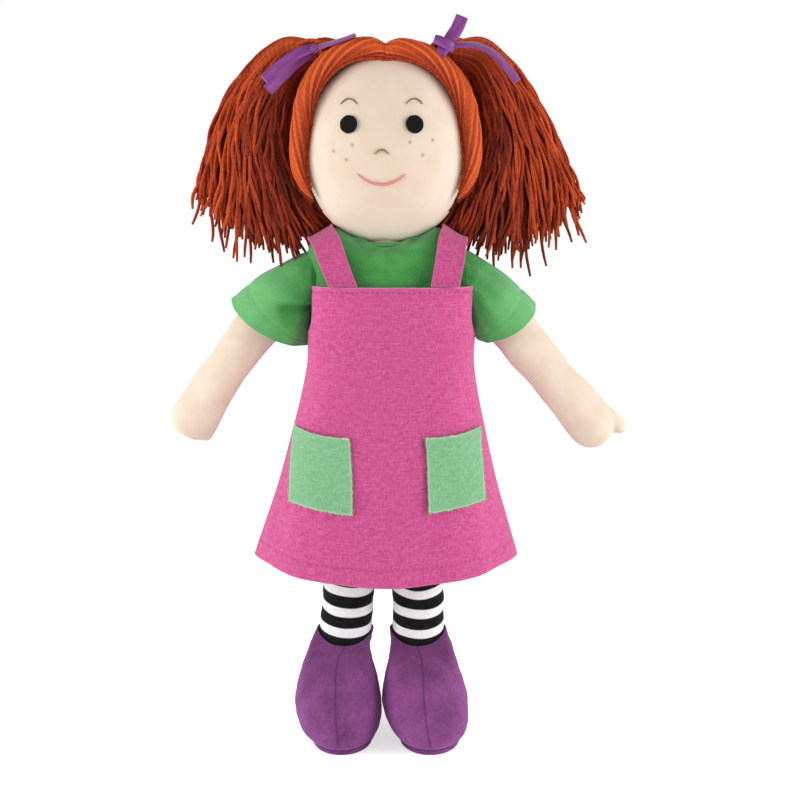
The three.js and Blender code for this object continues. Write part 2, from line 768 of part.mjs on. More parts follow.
function armCurve(side) {
  const steps = 40;
  const place = new THREE.Vector3(side.sign * (shoulderReach + flapReach + seamGap), 0, shoulderHeight);
  const stations = [{ place: place.clone(), angle: side.armLean[0] }];
  for (let i = 0; i < steps; i++) {
    const angle = THREE.MathUtils.lerp(...side.armLean, (i + 0.5) / steps);
    const lean = THREE.MathUtils.degToRad(angle);
    const way = new THREE.Vector3(side.sign * Math.sin(lean), 0, -Math.cos(lean));
    place.addScaledVector(way, armLength / steps);
    stations.push({ place: place.clone(), angle });
  }
  return (share) => {
    const at = THREE.MathUtils.clamp(share, 0, 1) * steps;
    const low = Math.min(Math.floor(at), steps - 1);
    const place = stations[low].place.clone().lerp(stations[low + 1].place, at - low);
    const angle = THREE.MathUtils.lerp(stations[low].angle, stations[low + 1].angle, at - low);
    return { place, lean: THREE.MathUtils.degToRad(angle) };
  };
}

function armRings(side, inset) {
  const curve = armCurve(side);
  return smoothShares(armShares, 11).map(([lengthShare, widthShare, depthShare]) => {
    const endShare = (seamWalls * inset) / armLength;
    const share = THREE.MathUtils.lerp(endShare, 1 - endShare, lengthShare);
    const { place, lean } = curve(share);
    const square = new THREE.Vector3(side.sign * Math.cos(lean), 0, Math.sin(lean));
    const turned = THREE.MathUtils.smoothstep(share, 0, armTurnShare);
    const widthWay = new THREE.Vector3(0, 0, 1).lerp(square, turned).normalize();
    const halfWidth = (armWidth / 2) * widthShare - inset;
    const halfDepth = Math.max((armDepth / 2) * depthShare - inset, seamHalfDepth);
    return ringAt(place, widthWay, back, halfWidth, halfDepth, 12);
  });
}

function thumb(side) {
  const { place, lean } = armCurve(side)(side.thumbRoot);
  const square = new THREE.Vector3(side.sign * Math.cos(lean), 0, Math.sin(lean));
  const outwards = square.multiplyScalar(side.thumbSide);
  const way = new THREE.Vector3(side.sign * Math.sin(lean), 0, -Math.cos(lean));
  const from = place.clone().addScaledVector(outwards, armWidth / 2 - thumbRadius);
  const to = from.clone().addScaledVector(way, thumbLength).addScaledVector(outwards, thumbSplay);
  const lobe = new THREE.CapsuleGeometry(thumbRadius, from.distanceTo(to), 3, 8);
  lobe.applyQuaternion(new THREE.Quaternion().setFromUnitVectors(back, to.clone().sub(from).normalize()));
  const middle = from.clone().add(to).divideScalar(2);
  return solidFrom(lobe.translate(middle.x, middle.y, middle.z));
}

// The arm's skin is open at its sewn end, where the stuffing goes in.
const armMouthHalfHeight = 3.2;
const armMouthHalfDepth = 0.4;
const armMouthLength = 4;

for (const side of sides) {
  const outer = solidFrom(loft(armRings(side, 0))).add(thumb(side));
  const hollow = solidFrom(loft(armRings(side, skinWall)));
  const cut = shoulderBlock(side.sign, shoulderReach, armMouthLength, armMouthHalfDepth, armMouthHalfHeight);
  addPiece("arm_skin_" + side.name, outer.subtract(hollow).subtract(cut), "skin");
  addPiece("arm_stuffing_" + side.name, loft(armRings(side, skinWall + layerGap)), "stuffing");
}

// Hip strip: the flat sewn edge between the torso and both legs, where the doll sits down
addPiece(
  "hip_strip",
  new THREE.BoxGeometry(hipStripWidth, hipStripThickness, hipStripHeight).translate(0, 0, hipHeight),
  "skin",
);

// Leg: a striped stocking tube, flat at the hip and round at the boot
const legFoot = bootHeight - legSink;
const legTop = hipHeight - hipStripHeight / 2 - seamGap;
const legShares = [
  [0, 0.9, 0.9],
  [0.12, 0.98, 0.98],
  [0.3, 1, 1],
  [0.55, 1.05, 1.03],
  [0.75, 1.09, 0.97],
  [0.87, 1.11, 0.72],
  [0.95, 1.12, 0.38],
  [1, 1.12, 0.06],
];

function legDrift(sign) {
  const foot = stanceShift + sign * legSpacing;
  const hip = sign * hipSpacing;
  return (share) => [THREE.MathUtils.lerp(foot, hip, share), 0];
}

function legBody(sign, grow, footLift, topDrop) {
  return levelBody({
    shares: legShares,
    foot: legFoot + footLift,
    height: legTop - legFoot - footLift - topDrop,
    width: legWidth,
    depth: legDepth,
    grow,
    steps: 8,
    count: 14,
    power: 2,
    drift: legDrift(sign),
  });
}

for (const side of sides) {
  const hollow = legBody(side.sign, -skinWall, -skinWall, seamWalls * skinWall);
  addPiece("leg_skin_" + side.name, legBody(side.sign, 0, 0, 0).subtract(hollow), "stocking");
  const inset = skinWall + layerGap;
  const core = legBody(side.sign, -inset, -skinWall + inset, seamWalls * inset);
  addPiece("leg_stuffing_" + side.name, core, "stuffing");
}

// Boot: a soft egg-shaped foot with a flat sole.
// Each row has shares of the height, of the half width and half length, and of the forward set.
const bootShares = [
  [0, 0.74, 0.8],
  [0.05, 0.87, 0.92],
  [0.16, 0.97, 0.99],
  [0.34, 1, 1],
  [0.54, 0.93, 0.87],
  [0.74, 0.78, 0.64],
  [0.9, 0.67, 0.45],
  [1, 0.645, 0.4],
];
const bootForwardShares = [
  [0, 0.26, 0],
  [0.34, 0.25, 0],
  [0.6, 0.17, 0],
  [0.85, 0.04, 0],
  [1, 0.005, 0],
];
const upperFoot = soleThickness + seamGap;
const bootPower = 2.1;

function bootBody(sign, grow, foot, top) {
  const height = top - foot;
  const forward = smoothShares(bootForwardShares, 20);
  return levelBody({
    shares: bootShares,
    foot,
    height,
    width: bootWidth,
    depth: bootLength,
    grow,
    steps: 9,
    count: 14,
    power: bootPower,
    drift: (share) => {
      const x = stanceShift + sign * THREE.MathUtils.lerp(bootSpacing, legSpacing, share ** 2);
      return [x, -bootLength * rowAt(forward, share)[1]];
    },
  });
}

for (const side of sides) {
  const upper = bootBody(side.sign, 0, upperFoot, bootHeight);
  const mouth = legBody(side.sign, layerGap, -bootWall, 0);
  const hollow = bootBody(side.sign, -bootWall, upperFoot + bootWall, legFoot - seamGap);
  addPiece("boot_" + side.name, upper.subtract(hollow).subtract(mouth), "suede");
  const inset = bootWall + layerGap;
  const core = bootBody(side.sign, -inset, upperFoot + inset, legFoot - seamGap - layerGap);
  const room = legBody(side.sign, looseGap, -bootWall, 0);
  addPiece("boot_stuffing_" + side.name, core.subtract(room), "stuffing");
  const x = stanceShift + side.sign * bootSpacing;
  const y = -bootLength * bootForwardShares[0][1];
  const soleRings = [0, soleThickness].map((z, i) =>
    ringAt(
      new THREE.Vector3(x, y, z),
      right,
      back,
      (bootWidth / 2) * bootShares[0][1] - (i ? 0 : seamGap),
      (bootLength / 2) * bootShares[0][2] - (i ? 0 : seamGap),
      24,
      bootPower,
    ),
  );
  addPiece("boot_sole_" + side.name, loft(soleRings), "suede");
}

// Pinafore: one surface for front and back, from the hem to the bib.
// Each row has shares between hem and bib: height, half width, half depth.
const dressWidthShares = [
  [0, 1, 1],
  [0.28, 0.86, 0.87],
  [0.56, 0.715, 0.68],
  [0.78, 0.614, 0.575],
  [1, bibWidth / skirtWidth, bibDepth / skirtDepth],
];
const dressRows = smoothShares(dressWidthShares, 60);
const bibPowerRise = 0.95;
const foldShare = 0.018;
const foldCount = 9;

function dressSection(heightShare) {
  const row = rowAt(dressRows, heightShare);
  return {
    halfWidth: (skirtWidth / 2) * row[1],
    halfDepth: (skirtDepth / 2) * row[2],
    power: 2.1 + bibPowerRise * heightShare,
    middle: dressLean * heightShare,
  };
}

// A place on the front: the angle runs from one side seam to the other, and the wave is 1 on a fold's ridge.
function dressFrontPoint(angle, heightShare, grow, wave = Math.cos(foldCount * angle)) {
  const { halfWidth, halfDepth, power, middle } = dressSection(heightShare);
  const fold = 1 + foldShare * (1 - heightShare) ** 1.5 * wave;
  const [x, y] = squaredRound(angle, halfWidth * fold + grow, halfDepth * fold + grow, power);
  const sag = hemSag * Math.abs(Math.cos(angle)) ** 1.3 * (1 - heightShare) ** 2;
  const z = hemHeight + (bibHeight - hemHeight) * heightShare - sag;
  return new THREE.Vector3(middle + x, y - seamGap / 2, z);
}

// The armhole takes the panel's sides away above the armpit.
const armpitShare = 0.81;
const bibAngle = 1.12;
function panelHalfAngle(heightShare) {
  const up = THREE.MathUtils.clamp((heightShare - armpitShare) / (1 - armpitShare), 0, 1);
  return THREE.MathUtils.lerp(Math.PI / 2, bibAngle, 1 - (1 - up) ** 6);
}

function dressPanel(rows, columns, facing) {
  const grid = (grow) => {
    const places = [];
    for (let r = 0; r <= rows; r++) {
      const heightShare = r / rows;
      const half = panelHalfAngle(heightShare);
      const line = [];
      for (let c = 0; c <= columns; c++) {
        const spot = dressFrontPoint(((2 * c) / columns - 1) * half, heightShare, grow);
        spot.y *= facing;
        line.push(spot);
      }
      places.push(line);
    }
    return places;
  };
  return sheet(grid(0), grid(-dressWall));
}

const panelRows = 14;
const panelColumns = 18;
addPiece("dress_front", dressPanel(panelRows, panelColumns, 1), "linen");
addPiece("dress_back", dressPanel(panelRows, panelColumns, -1), "linen");

// Strap: a flat linen band from the bib over the shoulder to the back panel
const strapBase = bibHeight + seamGap;
const strapRise = strapTop - strapBase;
const strapShares = [
  [-1, 0, 0],
  [-0.96, 0.46, 0.4],
  [-0.77, 0.83, 0.7],
  [-0.42, 0.97, 0.95],
  [0, 1, 1],
  [0.42, 0.97, 0.95],
  [0.77, 0.83, 0.7],
  [0.96, 0.46, 0.4],
  [1, 0, 0],
];
for (const side of sides) {
  const bibSpot = dressSection(1);
  const halfRun = bibDepth / 2 - dressWall / 2;
  const shares = smoothShares(strapShares, 14);
  const path = shares.map(([run, rise, spread]) =>
    new THREE.Vector3(
      bibSpot.middle * (1 - spread) + side.sign * (strapInset + strapSpread * spread),
      halfRun * run,
      strapBase + strapRise * rise,
    ),
  );
  const rings = path.map((centre, i) => {
    const before = path[Math.max(i - 1, 0)];
    const after = path[Math.min(i + 1, path.length - 1)];
    const way = after.clone().sub(before).normalize();
    const tilt = strapTilt * shares[i][2] ** 2;
    const across = new THREE.Vector3(Math.cos(tilt), 0, -side.sign * Math.sin(tilt));
    const onEnd = i === 0 || i === path.length - 1;
    const normal = onEnd ? back.clone() : new THREE.Vector3().crossVectors(way, across).normalize();
    return bandRing(centre, across, normal, strapWidth / 2, dressWall / 2);
  });
  addPiece("strap_" + side.name, loft(rings), "linen");
}

// Patch pocket: lies on the front panel, its mouth a little open
const pocketMouth = 1;
const pocketTop = hemHeight + (bibHeight - hemHeight) * pocketRiseShare;
for (const side of sides) {
  const rows = 5;
  const columns = 7;
  const grid = (layer) => {
    const places = [];
    for (let r = 0; r <= rows; r++) {
      const z = pocketTop - pocketHeight * (1 - r / rows);
      const heightShare = (z - hemHeight) / (bibHeight - hemHeight);
      const { halfWidth, power } = dressSection(heightShare);
      const line = [];
      for (let c = 0; c <= columns; c++) {
        const x = side.sign * pocketInset + pocketShift + pocketWidth * (c / columns - 0.5);
        const angle = Math.asin(Math.sign(x) * (Math.abs(x) / halfWidth) ** (power / 2));
        const open = pocketMouth * (r / rows) ** 3 * Math.sin((Math.PI * c) / columns);
        line.push(dressFrontPoint(angle, heightShare, looseGap + open + layer * pocketWall, 1));
      }
      places.push(line);
    }
    return places;
  };
  addPiece("pocket_" + side.name, sheet(grid(1), grid(0)), "pocketLinen");
}

export default doll;
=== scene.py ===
import functools
import math
import bpy
import numpy as np
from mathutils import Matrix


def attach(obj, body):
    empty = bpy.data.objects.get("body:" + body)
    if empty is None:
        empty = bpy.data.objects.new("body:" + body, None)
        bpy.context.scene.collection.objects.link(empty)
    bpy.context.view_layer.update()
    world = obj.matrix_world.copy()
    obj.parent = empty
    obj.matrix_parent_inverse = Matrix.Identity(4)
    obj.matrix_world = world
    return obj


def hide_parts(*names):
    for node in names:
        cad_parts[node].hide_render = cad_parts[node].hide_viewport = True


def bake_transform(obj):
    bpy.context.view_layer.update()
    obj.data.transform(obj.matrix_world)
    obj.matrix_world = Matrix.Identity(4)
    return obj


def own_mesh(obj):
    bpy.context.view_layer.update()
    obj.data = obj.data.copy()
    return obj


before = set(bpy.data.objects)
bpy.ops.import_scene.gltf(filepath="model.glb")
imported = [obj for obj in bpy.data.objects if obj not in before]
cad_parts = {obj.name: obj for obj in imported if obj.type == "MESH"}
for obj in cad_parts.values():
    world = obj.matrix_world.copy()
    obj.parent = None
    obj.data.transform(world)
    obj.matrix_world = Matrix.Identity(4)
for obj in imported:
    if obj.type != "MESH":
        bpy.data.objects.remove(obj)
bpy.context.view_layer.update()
scene = bpy.context.scene
shiftX = -6.4  # mm from the doll's middle plane to the frame's middle
sides = {"left": 1, "right": -1}
mirror = {"left": np.array([1, 1, 1]), "right": np.array([-1, 1, 1])}
back, upright = np.array([0, 1, 0]), np.array([0, 0, 1])


def addObject(name, data):
    thing = bpy.data.objects.new(name, data)
    scene.collection.objects.link(thing)
    return thing


# Camera: at the photograph's height and tilt (metres, degrees below level, mm)
view = {"place": (0.0004, -0.8, 0.284), "lookDown": 8.5, "lens": 75, "sensor": 36}
cameraData = bpy.data.cameras.new("photo_camera")
cameraData.lens, cameraData.sensor_width = view["lens"], view["sensor"]
camera = addObject("photo_camera", cameraData)
camera.location = view["place"]
camera.rotation_euler = (math.radians(90 - view["lookDown"]), 0, 0)
scene.camera = camera


# Curves and steps. All lengths are in mm and turned to metres when a mesh is made.
def smoothRows(rows, steps=12):
    # A Catmull-Rom curve through the rows, with the end slopes carried on.
    rows = np.array(rows, float)
    framed = np.vstack([2 * rows[0] - rows[1], rows, 2 * rows[-1] - rows[-2]])
    t = np.linspace(0, 1, steps, endpoint=False)[:, None]
    parts = [0.5 * (2 * b + (c - a) * t + (2 * a - 5 * b + 4 * c - d) * t**2 + (3 * b - 3 * c + d - a) * t**3)
             for a, b, c, d in zip(framed, framed[1:], framed[2:], framed[3:])]
    return np.vstack(parts + [rows[-1:]])


def runAlong(points, axis=0):
    # The length run so far along one direction of the points, from nothing.
    steps = np.linalg.norm(np.diff(points, axis=axis), axis=-1)
    return np.insert(np.cumsum(steps, axis=axis), 0, 0, axis=axis)


def evenRows(rows, count, weights=1.0):
    # The smoothed rows again at even steps of their own length.
    fine = smoothRows(rows)
    run = runAlong(fine * weights)
    at = np.linspace(0, run[-1], count)
    return np.stack([np.interp(at, run, column) for column in fine.T], axis=1)


def rowsAt(rows, share):
    fine = smoothRows(rows)
    return [np.interp(share, fine[:, 0], column) for column in fine.T[1:]]


def blendStep(value, low, high):
    # From 0 at low to 1 at high, with level ends.
    t = np.clip((value - low) / (high - low), 0, 1)
    return t * t * (3 - 2 * t)


def bell(value, middle, width):
    return np.exp(-((value - middle) / width) ** 2)


def unit(v):
    return v / np.maximum(np.linalg.norm(v, axis=-1, keepdims=True), 1e-9)


def circle(count, start=0):
    return np.linspace(start, start + math.tau, count, endpoint=False)


def asPoints(x, y, z):
    return np.stack(np.broadcast_arrays(x, y, z), axis=-1)


def squaredRound(angle, halfWidth, halfDepth, power):
    # A superellipse: the half axes times the sine and cosine raised to 2/power, signs kept.
    s, c = np.sin(angle), np.cos(angle)
    return (halfWidth * np.sign(s) * np.abs(s) ** (2 / power),
            -halfDepth * np.sign(c) * np.abs(c) ** (2 / power))


def roughness3d(points, wave, seed, count=9):
    # Smooth lumps between -1 and 1: a sum of sine waves in random directions about one wavelength.
    pick = np.random.default_rng(seed)
    total = np.zeros(points.shape[:-1])
    for _ in range(count):
        way = pick.normal(size=3)
        way *= math.tau / (wave * pick.uniform(0.7, 1.5)) / np.linalg.norm(way)
        total += np.sin(points @ way + pick.uniform(0, math.tau))
    return total / math.sqrt(count) / 1.4


def gridNormals(grid, wrap=False):
    # Cross product of the two directions of the grid.
    around = np.roll(grid, -1, axis=1) - np.roll(grid, 1, axis=1) if wrap else np.gradient(grid, axis=1)
    return unit(np.cross(around, np.gradient(grid, axis=0)))


def closeGrid(grid, wrap):
    return np.concatenate([grid, grid[:, :1]], axis=1) if wrap else grid


def gridLengths(grid, wrap=False):
    # Metres along the rows and the columns, for cloth that keeps its weave's size.
    closed = closeGrid(grid, wrap)
    u, v = runAlong(closed, 1), runAlong(closed, 0)
    u = u - u.mean(axis=1, keepdims=True)
    v = v.mean(axis=1, keepdims=True) * np.ones_like(u)
    return np.stack([u, v], axis=2) * 0.001


def gridFaces(rows, columns, wrap):
    # Quads of a grid, and the grid places (row, unrolled column) of their corners.
    r, c = np.meshgrid(np.arange(rows - 1), np.arange(columns if wrap else columns - 1), indexing="ij")
    r, c = r.ravel(), c.ravel()
    cornerR = np.stack([r, r, r + 1, r + 1], axis=1)
    cornerC = np.stack([c, c + 1, c + 1, c], axis=1)
    return cornerR * columns + cornerC % columns, cornerR, cornerC


def capFaces(rows, columns):
    # A fan over the first and the last ring, whose middles come after the grid's own points.
    ring = np.arange(columns)
    after = (ring + 1) % columns
    foot, last = np.full(columns, rows * columns), (rows - 1) * columns
    return np.concatenate([np.stack([foot, after, ring], axis=1),
                           np.stack([foot + 1, last + ring, last + after], axis=1)])


# A shape is a list of parts, each with its points, faces, one UV per face corner and marks per point.
def addPart(shape, points, faces, uvs, marks):
    # A closed part that is inside out is turned round: its signed volume tells.
    volume = sum(np.einsum("ij,ij->", points[face[:, 0]], np.cross(points[face[:, k]], points[face[:, k + 1]]))
                 for face in faces for k in range(1, face.shape[1] - 1))
    step = -1 if volume < 0 else 1
    shape.append((points, [face[:, ::step] for face in faces], [uv[:, ::step] for uv in uvs], marks))
    return shape


def addBody(shape, grid, marks=None, capped=True):
    # A closed body from a grid of rings, with a fan over each end.
    rows, columns = grid.shape[:2]
    uv = gridLengths(grid, True)
    faces, r, c = gridFaces(rows, columns, True)
    points, allFaces, allUvs = [grid.reshape(-1, 3)], [faces], [uv[r, c]]
    marks = {name: np.broadcast_to(value, (rows, columns)) for name, value in (marks or {}).items()}
    if capped:
        points += [grid[0].mean(axis=0)[None], grid[-1].mean(axis=0)[None]]
        allFaces.append(capFaces(rows, columns))
        fans = [(np.broadcast_to(edge.mean(axis=0), edge[1:].shape), edge[:-1], edge[1:]) for edge in (uv[0], uv[-1])]
        middle, this, following = fans[0]
        allUvs.append(np.concatenate([np.stack([middle, following, this], axis=1), np.stack(fans[1], axis=1)]))
    marks = {name: np.append(value, [value[0, 0], value[-1, 0]] if capped else []) for name, value in marks.items()}
    return addPart(shape, np.concatenate(points), allFaces, allUvs, marks)


def addSheet(shape, grid, wall, outward, marks=None, wrap=False, uv=None, normals=None):
    # A sheet with two faces, a wall apart along the grid's normals, and a closed rim.
    rows, columns = grid.shape[:2]
    if normals is None:
        normals = gridNormals(grid, wrap)
        normals = -normals if (normals * outward).sum() < 0 else normals
    uv = gridLengths(grid, wrap) if uv is None else uv
    faces, r, c = gridFaces(rows, columns, wrap)
    size, top = rows * columns, (rows - 1) * columns
    allFaces, allUvs = [faces, faces[:, ::-1] + size], [uv[r, c], uv[r, c][:, ::-1]]
    c = np.arange(columns if wrap else columns - 1)
    after = (c + 1) % columns
    rims = [(c, after, uv[0, c], uv[0, c + 1]), (top + after, top + c, uv[-1, c + 1], uv[-1, c])]
    if not wrap:
        r = np.arange(rows - 1)
        rims += [((r + 1) * columns, r * columns, uv[r + 1, 0], uv[r, 0]),
                 ((r + 1) * columns - 1, (r + 2) * columns - 1, uv[r, -1], uv[r + 1, -1])]
    for a, b, uvA, uvB in rims:
        allFaces.append(np.stack([b, a, a + size, b + size], axis=1))
        allUvs.append(np.stack([uvB, uvA, uvA, uvB], axis=1))
    marks = {name: np.tile(np.broadcast_to(value, (rows, columns)).ravel(), 2) for name, value in (marks or {}).items()}
    return addPart(shape, np.concatenate([grid.reshape(-1, 3), (grid - normals * wall).reshape(-1, 3)]),
                   allFaces, allUvs, marks)


def addStrands(shape, paths, radii, reference, sideCount=6, marks=None):
    # Round strands: rings square to each path, one part for all of them.
    strands, steps = paths.shape[:2]
    way = unit(np.gradient(paths, axis=1))
    across = unit(np.cross(way, np.broadcast_to(reference, paths.shape)))
    high = np.cross(across, way)
    turn = circle(sideCount)[:, None]
    radii = np.broadcast_to(radii, (strands, steps))[..., None, None]
    rings = paths[:, :, None] + radii * (np.cos(turn) * high[:, :, None] + np.sin(turn) * across[:, :, None])
    run = runAlong(paths, 1)
    quads, r, c = gridFaces(steps, sideCount, True)
    around = math.tau * radii.mean() / sideCount * 0.001
    quadUv = np.stack([np.broadcast_to(c * around, (strands,) + c.shape), run[:, r] * 0.001], axis=3)
    endRun = np.zeros((strands, 2 * sideCount, 3))
    endRun[:, sideCount:] = run[:, -1:, None]
    fanUv = np.stack([0 * endRun, endRun * 0.001], axis=3)
    starts = (np.arange(strands) * (steps * sideCount + 2))[:, None, None]
    points = np.concatenate([rings.reshape(strands, -1, 3), paths[:, :1], paths[:, -1:]], axis=1)
    spread = {}
    for name, value in (marks or {}).items():
        value = np.broadcast_to(value, (strands, steps))
        ends = [value[:, :1], value[:, -1:]]
        spread[name] = np.concatenate([np.repeat(value, sideCount, axis=1)] + ends, axis=1).ravel()
    faces = [(quads + starts).reshape(-1, 4), (capFaces(steps, sideCount) + starts).reshape(-1, 3)]
    return addPart(shape, points.reshape(-1, 3), faces, [quadUv.reshape(-1, 4, 2), fanUv.reshape(-1, 3, 2)], spread)


def makePiece(name, shape, finish, slot, body, *nodes):
    # One mesh from all parts, on its body; a mark that a part lacks is nothing there.
    starts = np.cumsum([0] + [len(part[0]) for part in shape])
    points = np.concatenate([part[0] for part in shape])
    faces = [face + start for start, part in zip(starts, shape) for face in part[1]]
    corners = np.concatenate([uv.reshape(-1, 2) for part in shape for uv in part[2]])
    loops = np.concatenate([face.ravel() for face in faces])
    sizes = np.concatenate([np.full(len(face), face.shape[1]) for face in faces])
    mesh = bpy.data.meshes.new(name)
    mesh.vertices.add(len(points))
    mesh.vertices.foreach_set("co", ((points + [shiftX, 0, 0]) * 0.001).astype(np.float32).ravel())
    mesh.loops.add(len(loops))
    mesh.loops.foreach_set("vertex_index", loops.astype(np.int32))
    mesh.polygons.add(len(sizes))
    mesh.polygons.foreach_set("loop_start", np.append(0, np.cumsum(sizes)[:-1]).astype(np.int32))
    mesh.polygons.foreach_set("use_smooth", np.full(len(sizes), True))
    mesh.update(calc_edges=True)
    mesh.uv_layers.new(name="cloth").data.foreach_set("uv", corners.astype(np.float32).ravel())
    for mark in dict.fromkeys(mark for part in shape for mark in part[3]):
        values = np.concatenate([np.broadcast_to(part[3].get(mark, 0.0), len(part[0])) for part in shape])
        mesh.attributes.new(mark, "FLOAT", "POINT").data.foreach_set("value", values.astype(np.float32))
    mesh.validate()
    mesh.materials.append(finishes[finish])
    piece = addObject(name, mesh)
    if body:
        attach(piece, body)
    if nodes:
        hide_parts(*nodes)
    return piece


def readVectors(holder, field):
    values = np.empty(len(holder) * 3)
    holder.foreach_get(field, values)
    return values.reshape(-1, 3)


def evaluated(thing):
    return thing.evaluated_get(bpy.context.evaluated_depsgraph_get())


padding = {"cell": 0.005, "pressure": 4, "frames": 20, "slack": 0.05, "quality": 5, "mass": 0.2, "stretch": 12,
           "shear": 4, "bend": 0.3}


def padOut(piece, most):
    # The stuffing presses the cloth out: a coarse copy is simulated, and its change of shape, less the even
    # growth, is carried to the nearest points of the fine piece. No point moves further than the limit (mm).
    copy = addObject(piece.name + "_pressed", piece.data)
    remesh = copy.modifiers.new("even_cells", "REMESH")
    remesh.mode, remesh.voxel_size = "VOXEL", padding["cell"]
    coarse = bpy.data.meshes.new_from_object(evaluated(copy))
    copy.modifiers.clear()
    copy.data = coarse
    cloth = copy.modifiers.new("pressed_cloth", "CLOTH")
    settings = cloth.settings
    settings.quality, settings.mass = padding["quality"], padding["mass"]
    settings.tension_stiffness = settings.compression_stiffness = padding["stretch"]
    settings.shear_stiffness, settings.bending_stiffness = padding["shear"], padding["bend"]
    settings.use_pressure, settings.uniform_pressure_force = True, padding["pressure"]
    settings.shrink_min = -padding["slack"]
    settings.effector_weights.gravity = 0
    cloth.collision_settings.use_collision = False
    cloth.point_cache.frame_start, cloth.point_cache.frame_end = 1, padding["frames"]
    for moment in range(1, padding["frames"] + 1):
        scene.frame_set(moment)
    pressed = evaluated(copy).data
    before, normals = readVectors(coarse.vertices, "co"), readVectors(coarse.vertex_normals, "vector")
    move = readVectors(pressed.vertices, "co") - before
    move = move - normals * (move * normals).sum(axis=1).mean()
    size = np.linalg.norm(move, axis=1, keepdims=True)
    move = move * np.minimum(1, most * 0.001 / np.maximum(size, 1e-9))
    fine = readVectors(piece.data.vertices, "co")
    for part in np.array_split(np.arange(len(fine)), 1 + len(fine) * len(before) // 3000000):
        away = np.linalg.norm(fine[part, None] - before[None], axis=2)
        near = np.argpartition(away, 6, axis=1)[:, :6]
        weight = 1 / (np.take_along_axis(away, near, axis=1) + 0.001) ** 2
        fine[part] += (move[near] * weight[..., None]).sum(axis=1) / weight.sum(axis=1, keepdims=True)
    piece.data.vertices.foreach_set("co", fine.astype(np.float32).ravel())
    piece.data.update()
    bpy.data.objects.remove(copy)
    bpy.data.meshes.remove(coarse)
    scene.frame_set(1)
    print("pressed out", piece.name, round(float(size.max()) * 1000, 2), "mm at most before the limit")


# Materials
def colour(code):
    # sRGB hex to linear light
    channels = [int(code[i:i + 2], 16) / 255 for i in (0, 2, 4)]
    return tuple(c / 12.92 if c <= 0.04045 else ((c + 0.055) / 1.055) ** 2.4 for c in channels) + (1.0,)


def setSockets(tree, node, values):
    # A socket is linked, a hex colour is turned linear, and a number is set as it is.
    for socket, value in values.items():
        if isinstance(value, bpy.types.NodeSocket):
            tree.links.new(value, node.inputs[socket])
        else:
            node.inputs[socket].default_value = colour(value) if isinstance(value, str) else value


# Where a node's values go, which of its outputs is used (none: all of them), and what is always set on it: a
# setting in small letters, or a socket
nodeHabits = {
    "Mix": ((0, 6, 7), 2, {"data_type": "RGBA"}), "VectorMath": ((0, 1), "Value", {}),
    "Mapping": (("Vector", "Scale"), 0, {}), "TexNoise": (("Vector", "Detail", "Roughness"), "Fac", {"Scale": 1.0}),
    "Bump": (("Height", "Distance", "Strength", "Normal"), 0, {}), "Attribute": ((), "Fac", {}),
    "TexCoord": ((), "Object", {}), "UVMap": ((), 0, {"uv_map": "cloth"}), "SeparateXYZ": ((0,), None, {}),
    "LightPath": ((), None, {})}


def addNode(tree, kind, *values, **settings):
    # One node with its settings and links; a kind in capitals is an operation of the maths node.
    if kind.isupper():
        kind, settings = "Math", {"operation": kind}
    sockets, output, always = nodeHabits.get(kind, (range(5), 0, {}))
    node = tree.nodes.new("ShaderNode" + kind)
    named = {**always, **settings}
    for name in filter(str.islower, named):
        setattr(node, name, named[name])
    sized = {name: value for name, value in named.items() if not name.islower()}
    setSockets(tree, node, {**sized, **dict(zip(sockets, values))})
    return node.outputs if output is None else node.outputs[output]


def makeMaterial(name, pattern, look, shader):
    # The pattern's nodes give colour and bump; what is the same all over is set on the shader.
    material = bpy.data.materials.new(name)
    material.use_nodes = True
    tree = material.node_tree
    made = pattern(functools.partial(addNode, tree), look)
    setSockets(tree, tree.nodes["Principled BSDF"], {**made, **shader})
    return material


# Plain cotton: matt, a fine level weave, faint soiling
def cotton(add, look):
    place = add("TexCoord")
    x, _, z = add("SeparateXYZ", place)
    warp, weft = (add("SINE", add("MULTIPLY", way, math.tau / look["weave"])) for way in (x, z))
    patchy = add("TexNoise", add("Mapping", place, (90, 90, 90)), 4.0)
    tint = add("Mix", add("MapRange", patchy, 0.35, 0.7), look["dark"], look["light"])
    # On the face these spots hold painted shade down the middle and at the chin, the cheeks' blush and the freckles.
    for spot, code, reach, core, strength in look["spots"]:
        away = add("VectorMath", place, spot, operation="DISTANCE")
        tint = add("Mix", add("MapRange", away, reach, core, 0.0, strength), tint, code)
    soft = add("TexNoise", add("Mapping", place, (220, 220, 220)), 3.0)
    low = add("Bump", soft, 0.0006, 0.35)
    return {"Base Color": tint, "Normal": add("Bump", add("MULTIPLY", warp, weft), 0.00006, 0.5, low)}
